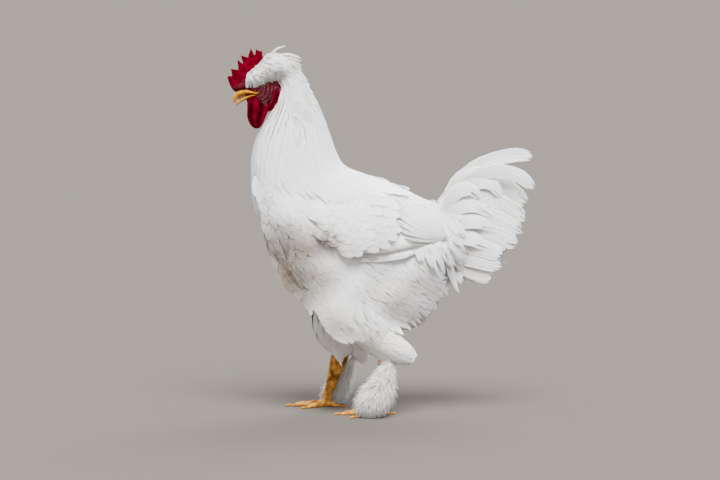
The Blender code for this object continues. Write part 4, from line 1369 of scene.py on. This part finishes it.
def make_flight_feathers(side, material):
    """Long quills folded under the coverts, each a little above and inside the one below it."""
    number = np.arange(9)[:, None]
    root = np.array((-0.048, 0.0885, 0.2610)) + number * (0.006, -0.0010, 0.0036)
    tip = np.array((0.048, 0.0860, 0.2690)) + number * (0.0050, -0.0018, 0.0016)
    middle = (root + tip) / 2 + (0, 0.0020, -0.0022)
    sign = SIDES[side]
    feathers = [(np.array(path) * (1, sign, 1), 0.0052, (0.0, sign, 0.25)) for path in zip(root, middle, tip)]
    piece = long_feathers(f"flight_quills_{side}", feathers, 7, blade_vane, 45, fray=0.04)
    return wear(piece, material, "plumage", f"flight_feathers_{side}")


def blade_vane(share):
    """Half-width of a tail feather: nearly even, with a broad round tip."""
    swell = 0.55 + 0.45 * np.sin(np.minimum(share / 0.5, 1) * math.pi / 2)
    return swell * np.sqrt(1 - 0.99 * np.clip((share - 0.72) / 0.28, 0, 1) ** 2)


def soft_vane(share):
    """Half-width of a soft tail covert: broad in its middle and drawn in to a blunt point."""
    return (0.5 + 0.5 * np.sin(np.minimum(share / 0.45, 1) * math.pi / 2)) * np.sqrt(
        1 - 0.99 * np.clip((share - 0.45) / 0.55, 0, 1) ** 1.6)


def make_tail(material):
    """Broad feathers in a fan on each side, two sickles, curled coverts and soft ones that fall over their
    roots.
    """
    fan = []
    for sign in SIDES.values():
        for at in np.arange(0, 6.01, 0.5):  # between two rows lies a shorter feather, further in
            *numbers, half_width = read_line(TAIL_FEATHERS, at)
            path = side_path(numbers, 1)
            inner = 0.004 if at % 1 else 0.0
            path[2] += (path[1] - path[2]) * (0.10 if at % 1 else 0.0)
            fan.append(((path - (0, inner, 0)) * (1, sign, 1), half_width, (0.0, sign, 0.0)))
    fan = long_feathers("tail_fan", fan, 16, blade_vane, 51, fray=0.16, rise=0.0003)
    wear(fan, material, "plumage", "tail")
    for side, rows in SICKLES.items():
        feather = side_path(rows, SIDES[side]), SICKLE_HALF_WIDTH, (0.0, SIDES[side], 0.0)
        sickle = long_feathers(f"sickle_feather_{side}", [feather], 19, blade_vane, 52)
        wear(sickle, material, "plumage", f"sickle_{side}")
    curls = []
    for sign in SIDES.values():
        for *numbers, half_width in CURLED_COVERTS:
            curls.append((side_path(numbers, sign), half_width * 1.15, (0.0, sign, 0.25)))
    curled = long_feathers("curled_coverts", curls, 17, soft_vane, 56, fray=0.24)
    wear(curled, material, "plumage")
    form = beyond(ridge_form(TAIL_RIDGE), TAIL_RIDGE)
    u, v = scatter(form, (0.0, 4.6), (0, TURN), 0.0098, 53)
    rng = np.random.default_rng(54)
    length = (0.056 - 0.012 * ease(2.5, 4.5, u)) * rng.uniform(0.8, 1.2, len(u))
    low = ease(0.9, 1.8, from_back(v))
    heading = down_side(v) * (-0.30 + low * (1.15 - 0.55 * ease(0.5, 3.5, u)))
    heading = heading + rng.normal(size=len(u)) * 0.10
    lift = rng.uniform(-0.0005, 0.0030, len(u))
    lines, ups = lay(form, u, v, heading, length, 0.006, LANCE, lift=lift)
    lines, ups, _ = split(lines, ups, LANCE, 0.0092, lance_vane, 5, 57, fray=0.16, rise=0.0003)
    piece = grow("tail_coverts", lines, ups, LANCE, 0.0029, strip_vane, 55, camber=0.05, roll=0.05)
    return wear(piece, material, "plumage")


def make_leg_feathers(side, material):
    """Soft feathers down the thigh, a smooth tuft behind the hock and a loose boot beside the shank."""
    rng = np.random.default_rng(61)
    thigh = beyond(limb_form(THIGH[side], side), THIGH[side])
    u, v = scatter(thigh, (1.6, len(THIGH[side]) - (1.3 if side == "left" else 1.75)), (0, TURN), 0.0052, 62)
    length = 0.030 * rng.uniform(0.8, 1.2, len(u))
    lift = rng.uniform(-0.0003, 0.0010, len(u))
    lines, ups = lay(thigh, u, v, rng.normal(size=len(u)) * 0.10, length, 0.006, LANCE, lift=lift)
    piece = grow(
        f"thigh_feathers_{side}", lines, ups, LANCE, 0.0040, lance_vane, 63, camber=0.04, roll=0.06,
        soft=0.7)
    wear(piece, material, "plumage")
    tuft = beyond(limb_form(HOCK_TUFT[side], side), HOCK_TUFT[side])
    u, v = scatter(tuft, (0.0, 3.3), (0, TURN), 0.0042, 64)
    length = (0.028 - 0.014 * ease(1.6, 3.3, u)) * rng.uniform(0.8, 1.2, len(u))
    lift = rng.uniform(-0.0002, 0.0014, len(u))
    lines, ups = lay(tuft, u, v, rng.normal(size=len(u)) * 0.08, length, 0.005, ROUND, lift=lift)
    piece = grow(
        f"hock_feathers_{side}", lines, ups, ROUND, 0.0042, round_vane, 65, camber=0.04, roll=0.08,
        soft=0.45)
    wear(piece, material, "plumage")
    boot = beyond(boot_form(side), BOOT)
    u, v = scatter(boot, (0.0, 5.6), (0, TURN), 0.0024, 66)
    length = 0.024 * rng.uniform(0.4, 1.35, len(u)) * (1 - 0.35 * ease(3.5, 5.6, u))
    lift = rng.uniform(-0.002, 0.009, len(u)) * BOOT_SIZE[side] * (0.4 + 0.6 * ease(0, 2.5, u))
    tufts = waves(boot(u, v), 0.014, 68) * 0.35
    heading = rng.normal(size=len(u)) * 0.30 + tufts
    lines, ups = lay(boot, u, v, heading, length, 0.009, SOFT, lift=lift, fall=1.4)
    lines[..., 2] = np.maximum(lines[..., 2], 0.0012)
    piece = grow(
        f"boot_feathers_{side}", lines, ups, SOFT, 0.0007, wisp_vane, 67, camber=0.1, roll=0.8,
        soft=0.3)
    return wear(piece, material, "plumage", f"boot_{side}")


def make_crest(material):
    """A soft topknot: it rolls down over the forehead, then sweeps back over the crown into the nape."""
    form = beyond(ridge_form(CREST), CREST)
    u, v = scatter(form, (0.1, 7.9), (0, TURN), 0.0029, 71)
    rng = np.random.default_rng(72)
    length = (0.016 + 0.010 * ease(1, 4, u) - 0.016 * ease(4.2, 6.2, u)) * rng.uniform(0.75, 1.2, len(u))
    tufts = waves(form(u, v), 0.016, 74) * 0.22
    heading = down_side(v) * (0.25 + 0.9 * ease(4.5, 0.5, u)) + rng.normal(size=len(u)) * 0.12 + tufts
    lift = rng.uniform(-0.0014, 0.0030, len(u)) * ease(5.5, 3.5, u)
    lines, ups = lay(form, u, v, heading, length, 0.0045, LANCE, lift=lift)
    piece = grow(
        "crest_feathers", lines, ups, LANCE, 0.0012, lance_vane, 73, camber=0.05, roll=0.35, soft=0.12)
    wear(piece, material, "plumage", "crest")
    for side in SIDES:
        form = side_form(side, ((ridge_form(CREST), CREST), (body_form, BODY)), 0.004, slack=0.03)
        u, v = scatter(form, (-0.2235, -0.118), (0.500, 0.597), 0.0030, 76)
        reach = np.abs(form(u, v)[..., 1])
        behind = u > -0.1665 + 0.42 * np.maximum(0.532 - v, -0.1)
        kept = form.covers(u, v) & (reach > 0.012) & ((v > 0.541) | behind)
        u, v = u[kept], v[kept]
        rng = np.random.default_rng(77)
        tufts = waves(form(u, v), 0.018, 79) * 0.18
        wander = rng.normal(size=len(u)) * 0.09 + tufts
        length = (0.015 + 0.016 * ease(-0.200, -0.165, u)) * rng.uniform(0.8, 1.2, len(u))
        low = 0.5330 + 0.0065 * np.exp(-(((u + 0.1845) / 0.0085) ** 2))
        short = (v - length * 0.9 < low) & (u < -0.172)
        length = np.where(short, np.maximum((v - low) / 0.9, 0.003), length)
        for share in (0.5, 0.9):
            within = form.covers(u + share * length * 0.72, v - share * length * 0.69)
            length = np.where(within, length, length * 0.45)

        def heading(x, z):
            return -1.15 + 0.38 * ease(-0.215, -0.175, x) - 0.30 * ease(0.560, 0.530, z) + wander

        lift = rng.uniform(-0.0006, 0.0020, len(u))
        lines, ups = lay(form, u, v, heading, length, 0.0045, LANCE, lift=lift)
        piece = grow(
            f"nape_feathers_{side}", lines, ups, LANCE, 0.0012, lance_vane, 78,
            camber=0.05, roll=0.30, soft=0.15)
        wear(piece, material, "plumage")
    wisps = []
    for root_x, root_z, out, tip_x, tip_z, half_width in CREST_WISPS:
        for sign in (-1, 1):
            start, end = np.array((root_x, sign * out, root_z)), np.array((tip_x, sign * out * 1.3, tip_z))
            bend = (start + end) / 2 + (0, sign * 0.002, 0.0045)
            wisps.append((np.array((start, bend, end)), half_width, (0.0, sign, 0.8)))
    wisps = long_feathers("crest_wisps", wisps, 7, lance_vane, 75, fray=0.25)
    return wear(wisps, material, "plumage")


# ---------------------------------------------------------------- skin
def comb_outline(count):
    """The comb's edge in the head's axes: the front, spikes and valleys in turn, the back, read evenly and
    rounded.
    """
    spikes = [COMB_SPIKES[0]]
    for valley, spike in zip(COMB_VALLEYS, COMB_SPIKES[1:]):
        spikes += [valley, spike]
    outline = np.array((*COMB_FRONT, *spikes, *COMB_BACK, COMB_FRONT[0]))
    length = np.concatenate(([0], np.linalg.norm(np.diff(outline, axis=0), axis=-1).cumsum()))
    at = np.linspace(0, length[-1], count, endpoint=False)
    edge = np.stack([np.interp(at, length, outline[:, k]) for k in (0, 1)], axis=-1)
    for _ in range(3):
        edge = (np.roll(edge, 1, 0) + 2 * edge + np.roll(edge, -1, 0)) / 4
    return edge


def make_comb_solid():
    """Two faces from the comb's middle out to its edge, thick at the foot, thin in the spikes, round at
    the edge.
    """
    edge = comb_outline(520)
    centre = np.array((0.012, 0.020))
    share = np.sin(np.linspace(0, math.pi / 2, 30))
    flat = centre + share[:, None, None] * (edge - centre)
    foot = 1 - 0.55 * ease(0.020, 0.052, flat[..., 1])
    ripple = 1 + 0.16 * np.sin(flat[..., 0] * 900 + flat[..., 1] * 260)
    thick = 0.0034 * foot * ripple * np.sqrt(1 - 0.97 * share**10)[:, None]
    left = from_head(flat[..., 0], flat[..., 1], thick)
    right = from_head(flat[::-1, :, 0], flat[::-1, :, 1], -thick[::-1])
    rings = np.concatenate((left, right))
    return new_piece("comb_solid", rings, wall_faces(*rings.shape[:2], closed=True))


def make_wattle_solid(side):
    """Level ellipses down the wattle, carried in and out as a pleated sheet: three folds that open
    downwards.
    """
    def form(u, v):
        z, x, half_length, out, half_thick = np.moveaxis(read_line(WATTLE, u), -1, 0)
        pleat = 0.0024 * np.cos(np.cos(v) * 6.3 + 0.9) * np.minimum(half_length / 0.013, 1)
        reach = out + half_thick * 0.85 * np.sin(v) + pleat
        return np.stack((x + half_length * np.cos(v), SIDES[side] * reach, z + 0 * v), axis=-1)
    return solid(f"wattle_solid_{side}", form, rows_of(WATTLE, 46), 72)


def make_lobe_solid(side):
    """A strip behind the face with a furrow down its middle."""
    def place(u):
        x, z, out, half_width, half_thick = np.moveaxis(read_line(EARLOBE, u), -1, 0)
        return np.stack((x, SIDES[side] * out, z), axis=-1), half_width * 1.15, half_thick

    tube = tube_form(place)

    def form(u, v):
        points = tube(u, v)
        furrow = 0.0022 * np.exp(-((np.cos(v) / 0.32) ** 2)) * (np.sin(v) * SIDES[side] > 0)
        points[..., 1] -= SIDES[side] * furrow
        return points
    return solid(f"lobe_solid_{side}", form, rows_of(EARLOBE, 40), 40)


def ring_solid(name, centre, normal, wide, tall, thick):
    """A ring that lies round an opening: an ellipse of wide and tall carried round by a small circle."""
    count, sides = 40, 12
    u, v = np.meshgrid(TURN * np.arange(count) / count, TURN * np.arange(sides) / sides, indexing="ij")
    normal = unit(np.asarray(normal, float))
    up = unit(np.cross(normal, from_head(1.0, 0.0, 0.0) - from_head(0.0, 0.0, 0.0)))
    ahead = np.cross(up, normal)
    radial = ahead * np.cos(u)[..., None] + up * np.sin(u)[..., None]
    middle = centre + ahead * (wide * np.cos(u))[..., None] + up * (tall * np.sin(u))[..., None]
    points = middle + radial * (thick * np.cos(v))[..., None] + normal * (thick * np.sin(v))[..., None]
    return new_piece(name, points, wall_faces(count, sides, closed=True))


def wrinkle(head):
    """Fine folds over the bare face and pebbles all over: points move along their normals by sums of sine
    waves.
    """
    points, out = places(head), normals(head)
    along, up = into_head(points)
    face = ease(0.030, 0.018, along) * ease(0.012, 0.004, up) * ease(-0.034, -0.024, up)
    rows = np.sin((up * 0.55 + along) * TURN / 0.0026 + waves(points, 0.012, 81) * 2.0)
    pebbles = waves(points, 0.0022, 82, 12)
    move_to(head, points + out * (0.00022 * face * rows + 0.00016 * pebbles)[:, None])
    return head


def make_skin():
    """One closed skin: a coarse trunk inside the coat, and a fine head and legs, made one with it."""
    trunk = solid("skin", coat_form, np.linspace(0.3, 13.9, 60), 56, 0.010)
    parts = [trunk]
    for side in SIDES:
        rows = THIGH[side]
        parts.append(solid(f"wing_skin_{side}", plate_form(WING, side), np.linspace(0.4, 7.6, 30), 28, 0.006))
        parts.append(solid(f"thigh_skin_{side}", limb_form(rows, side), rows_of(rows, 24), 24, 0.007))
    parts.append(solid("tail_skin", ridge_form(TAIL_RIDGE), np.linspace(0, 5, 24), 30, 0.009))
    parts.append(solid("crown_skin", ridge_form(CREST), np.linspace(0.8, 7, 24), 30, 0.009))
    trunk = melt(joined("skin", parts), 0.0044)
    parts = [solid("head_skin", head_form(HEAD), rows_of(HEAD, 40), 48), make_comb_solid()]
    parts.append(solid("knob_skin", head_form(KNOB), rows_of(KNOB, 30), 32))
    parts.append(solid("chin_skin", head_form(CHIN), rows_of(CHIN, 24), 32))
    for side, sign in SIDES.items():
        parts += [make_wattle_solid(side), make_lobe_solid(side)]
        along, up, out = EYE
        centre = from_head(along, up, sign * (out + 0.0036))
        parts.append(ring_solid(f"lid_{side}", centre, (0, sign, 0), 0.0062, 0.0046, 0.0013))
    head = wrinkle(melt(joined("head_skin", parts), 0.00092))
    legs = []
    for side in SIDES:
        legs.append(solid(f"shank_skin_{side}", shank_form(side), rows_of(SHANK, 50), 32))
        legs += foot_solids(side)
    legs = melt(joined("leg_skin", legs), 0.0010)
    for part in (head, legs):
        union = trunk.modifiers.new("one skin", "BOOLEAN")
        union.operation = "UNION"
        union.solver = "MANIFOLD"
        union.object = part
    settle(trunk)
    for part in (head, legs):
        bpy.data.objects.remove(part)
    return largest_part(trunk)


def foot_solids(side):
    """The ball of the foot and four toes that swell at each joint, flat where they bear on the floor."""
    ankle = shank_place(side, 1.0)
    height = np.array((0.0, 0.003, 0.007, 0.011, 0.0150))
    radius = np.array((0.0080, 0.0095, 0.0098, 0.0090, 0.0070))

    def ball(u, v):
        z, r = (np.interp(u, np.arange(len(height)), rows) for rows in (height, radius))
        return np.stack((ankle[0] + r * np.cos(v), ankle[1] + r * np.sin(v), z), axis=-1)

    pieces = [solid(f"ball_{side}", ball, rows_of(height, 16), 30)]
    for toe, sizes in TOES.items():
        piece = solid(f"toe_{side}_{toe}", toe_form(side, *sizes), np.linspace(0, 1, 40), 24)
        points = places(piece)
        points[:, 2] = np.maximum(points[:, 2], 0.0)
        move_to(piece, points)
        pieces.append(piece)
    return pieces


def toe_way(side, degrees):
    """The level direction of a toe that is turned outwards by that many degrees."""
    angle = math.radians(degrees) * SIDES[side]
    return np.array((-math.cos(angle), math.sin(angle), 0.0))


def toe_form(side, degrees, length, radius):
    """Circles along a level line, which taper and swell three times."""
    way = toe_way(side, degrees)
    across, upright = np.array((way[1], -way[0], 0.0)), np.array((0, 0, 1.0))
    start = shank_place(side, 1.0) * (1, 1, 0)

    def form(u, v):
        share = np.clip(u, 0, 1)
        size = radius * (1 - (1 - TOE_TAPER) * share) * (1 - 0.4 * ease(0.85, 1.0, share))
        middle = start + (share * length)[..., None] * way
        middle[..., 2] = size - FLOOR_SINK
        swell = 1 + 0.10 * np.cos(u * TURN * 3.0)
        level, rise = size * swell * np.cos(v), size * swell * np.sin(v)
        return middle + across * level[..., None] + upright * rise[..., None]
    return form


# ---------------------------------------------------------------- bare parts
def make_bills(material):
    """The two halves of the bill. Each is a tube along the head that runs back along the gape."""
    halves = ("upper_bill", UPPER_BILL, "bill_upper"), ("lower_bill", LOWER_BILL, "bill_lower")
    for name, rows, node in halves:
        form = head_form(rows)

        def shaped(u, v, form=form, name=name):
            points = form(u, v)
            along, up = into_head(points)
            dent = 0.0014 * np.exp(-(((along - 0.0335) / 0.0032) ** 2) - ((up - 0.0112) / 0.0011) ** 2)
            points[..., 1] -= np.sign(points[..., 1]) * dent * (name == "upper_bill")
            return points

        piece = solid(name, shaped, rows_of(rows, 90), 64)
        points = places(piece)
        along, up = into_head(points)
        # Painted shade inside the nostril slit.
        slit = np.exp(-(((along - 0.0330) / 0.0036) ** 2) - ((up - 0.0115) / 0.0012) ** 2)
        set_attribute(piece.data, "dark", np.clip(slit * 1.4, 0, 1))
        wear(piece, material, "horn", node)


def make_tongue(material):
    """The tongue and the floor of the open mouth."""
    piece = solid("tongue", head_form(TONGUE), rows_of(TONGUE, 30), 28)
    return wear(piece, material, "red_skin")


def make_bristles(material):
    """Short pale bristles over the face, from the bill back to the ear."""
    for side, sign in SIDES.items():
        rng = np.random.default_rng(91)
        form = head_form(HEAD)
        u, v = scatter(form, (1.0, 5.2), (0, math.pi), 0.0031, 92)
        v = v if sign > 0 else -v
        along, up = into_head(form(u, v))
        kept = (up < 0.001 - 0.30 * np.maximum(0.010 - along, 0)) & (up > -0.026) & (along < 0.024)
        u, v = u[kept], v[kept]
        heading = math.pi + rng.normal(size=len(u)) * 0.5
        length = rng.uniform(0.0012, 0.0026, len(u))
        lift = rng.uniform(0.0004, 0.0010, len(u))
        lines, ups = lay(form, u, v, heading, length, 0.0002, SOFT, lift=lift)
        piece = grow(
            f"face_bristles_{side}", lines, ups, SOFT, 0.00011, wisp_vane, 93,
            camber=0.0, thick=0.0001, roll=0.5)
        wear(piece, material, "plumage")


def make_eyes(material):
    """Round eyes with a slightly raised clear front, ringed by distance from the eye's own axis."""
    for side, sign in SIDES.items():
        along, up, out = EYE
        centre = from_head(along, up, sign * out)

        def form(u, v, centre=centre, sign=sign):
            ring = EYE_RADIUS * np.sin(u * math.pi)
            lens = 0.0006 * np.exp(-(((1 - u) / 0.16) ** 2))
            y = centre[1] - sign * EYE_RADIUS * np.cos(u * math.pi) + sign * lens
            return np.stack((centre[0] + ring * np.cos(v), y, centre[2] + ring * np.sin(v)), axis=-1)

        piece = solid(f"eyeball_{side}", form, np.linspace(0.001, 0.999, 48), 48)
        points = places(piece)
        ring = np.hypot(points[:, 0] - centre[0], points[:, 2] - centre[2]) / EYE_RADIUS
        front = (points[:, 1] - centre[1]) * sign > 0
        set_attribute(piece.data, "ring", np.where(front, ring, 1.0))
        wear(piece, material, "eye", f"eye_{side}")


def make_claws(side, material):
    """A horn tip on each toe: a tube that narrows as it bends down to the floor."""
    for number, (degrees, length, radius) in enumerate(TOES.values(), start=1):
        way = toe_way(side, degrees)
        tip_radius = radius * TOE_TAPER * 0.6
        start = shank_place(side, 1.0) * (1, 1, 0) + way * length
        start[2] = tip_radius - FLOOR_SINK

        def place(u, start=start, way=way):
            u = np.clip(u, -0.2, 1.2)
            middle = start + (u * CLAW_LENGTH)[..., None] * way
            middle[..., 2] = start[2] + 0.0010 * np.sin(u * math.pi) - (start[2] - 0.0009) * u**2
            size = CLAW_RADIUS * np.sqrt(np.maximum(1 - 0.97 * u, 0.01))
            size = np.minimum(size, middle[..., 2] - 0.0001)
            return middle, size * 0.8, size

        form = tube_form(place, (0.0, 0.0, 1.0))
        piece = solid(f"claw_tip_{side}_{number}", form, np.linspace(-0.1, 1, 20), 16)
        wear(piece, material, "horn", f"claw_{side}_{number}")


def make_spur(side, material):
    """A short horn on the inner rear of the shank."""
    share = 1 - (SPUR_HEIGHT - ANKLE[side][1]) / (HOCK[side][1] - ANKLE[side][1])
    start = shank_place(side, share)
    way = np.array((0.80, -SIDES[side] * 0.58, 0.12))

    def place(u):
        middle = start + (u * (SPUR_LENGTH + 0.006))[..., None] * way
        size = SPUR_RADIUS * np.sqrt(np.maximum(1 - 0.95 * u, 0.02))
        return middle, size, size

    piece = solid(f"spur_horn_{side}", tube_form(place, (0.0, 0.0, 1.0)), np.linspace(0, 1, 20), 16)
    wear(piece, material, "horn", f"spur_{side}")


# ---------------------------------------------------------------- finishes of the bare parts
def horn_material():
    """Yellow horn with a fine grain, with painted shade inside the nostril slit."""
    material, tree, shader = new_material("yellow_horn", 0.38, Specular_IOR_Level=0.06)
    place = object_place(tree)
    grain = noise(tree, place, 260.0)
    colour = mix(tree, remap(tree, grain, 0.3, 0.7), (0.34, 0.125, 0.003, 1), (0.46, 0.21, 0.009, 1))
    # Painted shade inside the nostril slit.
    colour = mix(tree, attribute(tree, "dark"), colour, (0.012, 0.004, 0.002, 1))
    tree.links.new(colour, shader.inputs["Base Color"])
    bump(tree, shader, grain, 0.0002)
    return material


def eye_material():
    """A black pupil, an orange-brown iris and a dark rim, under a clear gloss."""
    material, tree, shader = new_material("eye_gloss", 0.06, Coat_Weight=1.0, Coat_Roughness=0.03)
    ring, place = attribute(tree, "ring"), object_place(tree)
    iris = mix(tree, noise(tree, place, 1400.0, 2.0), (0.14, 0.030, 0.004, 1), (0.30, 0.085, 0.010, 1))
    colour = mix(tree, remap(tree, ring, 0.40, 0.46), (0.003, 0.002, 0.002, 1), iris)
    colour = mix(tree, remap(tree, ring, 0.74, 0.84), colour, (0.02, 0.006, 0.004, 1))
    tree.links.new(colour, shader.inputs["Base Color"])
    return material


def tongue_material():
    """Dull pink flesh."""
    material, tree, shader = new_material("tongue", 0.45, Specular_IOR_Level=0.2)
    grain = noise(tree, object_place(tree), 500.0, 2.0)
    colour = mix(tree, grain, (0.12, 0.055, 0.050, 1), (0.20, 0.11, 0.095, 1))
    tree.links.new(colour, shader.inputs["Base Color"])
    bump(tree, shader, grain, 0.0002)
    return material


def skin_material():
    """White under the coat, crimson over the head, purplish on the face and yellow down the legs."""
    material, tree, shader = new_material("skin", 0.5, Specular_IOR_Level=0.0)
    place = object_place(tree)
    z = add_node(tree, "ShaderNodeSeparateXYZ", Vector=place).outputs[2]
    red = mottle(tree, place, 110.0, 0.3, 0.7, (0.042, 0.0003, 0.0032, 1), (0.098, 0.0008, 0.0075, 1))
    purple = mottle(tree, place, 260.0, 0.35, 0.65, (0.036, 0.0024, 0.0062, 1), (0.088, 0.0095, 0.0155, 1))
    specks = remap(tree, noise(tree, place, 900.0, 1.0), 0.64, 0.72, 0.0, 0.4)
    purple = mix(tree, specks, purple, (0.30, 0.20, 0.22, 1))
    red = mix(tree, attribute(tree, "face"), red, purple)
    yellow = mottle(tree, place, 130.0, 0.35, 0.65, (0.25, 0.100, 0.020, 1), (0.54, 0.260, 0.055, 1))
    brown = remap(tree, noise(tree, place, 70.0, 4.0), 0.48, 0.64, 0.0, 0.65)
    yellow = mix(tree, brown, yellow, (0.050, 0.015, 0.004, 1))
    colour = mix(tree, remap(tree, z, 0.15, 0.2), yellow, red)
    # Painted shade in the folds: the wattle's pleats, the ear lobe's furrow and the crease over the knob.
    colour = mix(tree, product(tree, attribute(tree, "fold"), 0.85), colour, (0.012, 0.0004, 0.0014, 1))
    colour = mix(tree, attribute(tree, "bare"), plumage_colour(tree), colour)
    tree.links.new(colour, shader.inputs["Base Color"])
    bump(tree, shader, noise(tree, place, 620.0), 0.0003)
    return material


def finish_skin(skin, material):
    """Marks the bare areas, the face and the creases for painted shade, then lets the skin stand for the
    solids of flesh.
    """
    points = places(skin)
    x, y, z = points.T
    along, up = into_head(points)
    comb = (up > 0.021) & (np.abs(y) < 0.006) & (x < -0.182)
    head = on_head(x, z) & (z < 0.547) | comb
    set_attribute(skin.data, "bare", head | (z < 0.100))
    face = ease(0.030, 0.020, along) * ease(0.016, 0.006, up) * ease(-0.034, -0.026, up)
    face = face * (np.abs(y) < 0.0205)
    knob = 0.75 * ease(0.018, 0.024, along) * ease(0.004, 0.010, up) * ease(0.0270, 0.0245, up)
    set_attribute(skin.data, "face", np.maximum(face, knob))
    rows = np.array(WATTLE)[::-1]
    middle, half_length = (np.interp(z, rows[:, 0], rows[:, k]) for k in (1, 2))
    across = np.clip((x - middle) / half_length, -1.2, 1.2)
    hanging = ease(0.514, 0.506, z) * (np.abs(across) < 1.15) * (np.abs(y) > 0.004) * head
    pleat = ease(0.2, -0.8, np.cos(across * 6.3 + 0.9)) * hanging
    ear_x, ear_z = np.array(EARLOBE)[::-1, 0], np.array(EARLOBE)[::-1, 1]
    away = np.abs(x - np.interp(z, ear_z, ear_x))
    furrow = ease(0.0022, 0.0006, away) * (z > 0.497) * (z < 0.534) * (np.abs(y) > 0.016)
    arch = np.abs(up - 0.0248 + 60 * (along - 0.036) ** 2)
    crease = ease(0.0016, 0.0004, arch) * (along > 0.022) * (along < 0.050)
    # fold is painted shade in the wattle's pleats, the ear lobe's furrow and the crease over the knob.
    set_attribute(skin.data, "fold", np.maximum.reduce((pleat, furrow, 0.9 * crease)))
    corners = read_values(skin.data.loops, "vertex_index", 1)[:, 0]
    sizes = read_values(skin.data.polygons, "loop_total", 1)[:, 0]
    first = np.repeat(np.cumsum(sizes) - sizes, sizes)
    layer = skin.data.uv_layers.new(name="OFBake")
    layer.data.foreach_set("uv", unwrap(points[corners], first).astype(np.float32).ravel())
    nodes = ["head", "comb", "neck", "trunk"]
    for side in SIDES:
        nodes += [f"{name}_{side}" for name in ("wattle", "earlobe", "wing", "thigh", "shank", "foot")]
    skin.data.shade_smooth()
    wear(skin, material, "red_skin", *nodes)


# ---------------------------------------------------------------- stage
def make_stage():
    """A wide pale floor."""
    bpy.ops.mesh.primitive_plane_add(size=240.0)
    floor = bpy.context.object
    floor.name = "studio_floor"
    material, _, shader = new_material("studio_floor", 0.9, Specular_IOR_Level=0.0)
    shader.inputs["Base Color"].default_value = (0.084, 0.075, 0.067, 1.0)
    floor.data.materials.append(material)


def make_camera():
    """A long lens at the bird's height, a little above, square to its left side."""
    aim = Vector((-0.035, 0.0, 0.283))
    rise, distance = math.radians(5.5), 4.93
    data = bpy.data.cameras.new("camera")
    data.lens = 150.0
    data.sensor_width = 36.0
    data.clip_end = 400.0
    camera = bpy.data.objects.new("camera", data)
    camera.location = aim + Vector((0, -math.cos(rise), math.sin(rise))) * distance
    camera.rotation_euler = (math.pi / 2 - rise, 0, 0)
    bpy.context.scene.collection.objects.link(camera)
    bpy.context.scene.camera = camera


def add_light(name, kind, place, aim, power, size, colour):
    """A light that points at aim. size is the side of an area and the angle of a sun."""
    data = bpy.data.lights.new(name, kind)
    data.energy = power
    data.color = colour
    if kind == "AREA":
        data.size = size
    else:
        data.angle = size
    light = bpy.data.objects.new(name, data)
    light.location = place
    light.rotation_euler = (Vector(aim) - Vector(place)).to_track_quat("-Z", "Y").to_euler()
    bpy.context.scene.collection.objects.link(light)


def make_lights():
    """A soft sky, one broad key from above, a weaker sun from behind and a warm glow from low in front."""
    world = bpy.data.worlds.new("sky")
    world.use_nodes = True
    world.node_tree.nodes["Background"].inputs["Color"].default_value = (0.76, 0.80, 0.86, 1.0)
    world.node_tree.nodes["Background"].inputs["Strength"].default_value = 1.8
    bpy.context.scene.world = world
    add_light("key", "SUN", (0.15, -1.25, 2.5), (0, 0, 0.3), 13.5, math.radians(32), (1.0, 0.985, 0.96))
    add_light("rim", "SUN", (0.6, 1.6, 2.2), (0, 0, 0.3), 5.5, math.radians(30), (0.95, 0.97, 1.0))
    add_light("glow", "AREA", (-1.3, -1.7, 0.35), (-0.05, 0, 0.22), 7.0, 0.9, (1.0, 0.74, 0.52))


def main():
    """Makes every piece."""
    make_stage()
    make_camera()
    make_lights()
    plumage = make_plumage("plumage", 6.0, 0.0006)
    finish_skin(make_skin(), skin_material())
    down = make_plumage("soft_plumage", 4.0, 0.00022, 0.20, CREAM, 0.12)
    horn = horn_material()
    make_bills(horn)
    make_eyes(eye_material())
    make_tongue(tongue_material())
    make_bristles(plumage)
    make_hackle(plumage)
    make_body_feathers(plumage)
    make_vent_fluff(plumage)
    make_saddle(plumage)
    make_hangers(plumage)
    make_tail(plumage)
    make_crest(make_plumage("crest_plumage", 9.0, 0.0008, 0.60, SHADE_AND_STRAND_BEIGE))
    for side in SIDES:
        make_flank(side, down)
        make_shoulder(side, down)
        make_wing(side, plumage)
        make_tertials(side, plumage)
        make_flight_feathers(side, plumage)
        make_leg_feathers(side, plumage)
        make_claws(side, horn)
        make_spur(side, horn)


main()
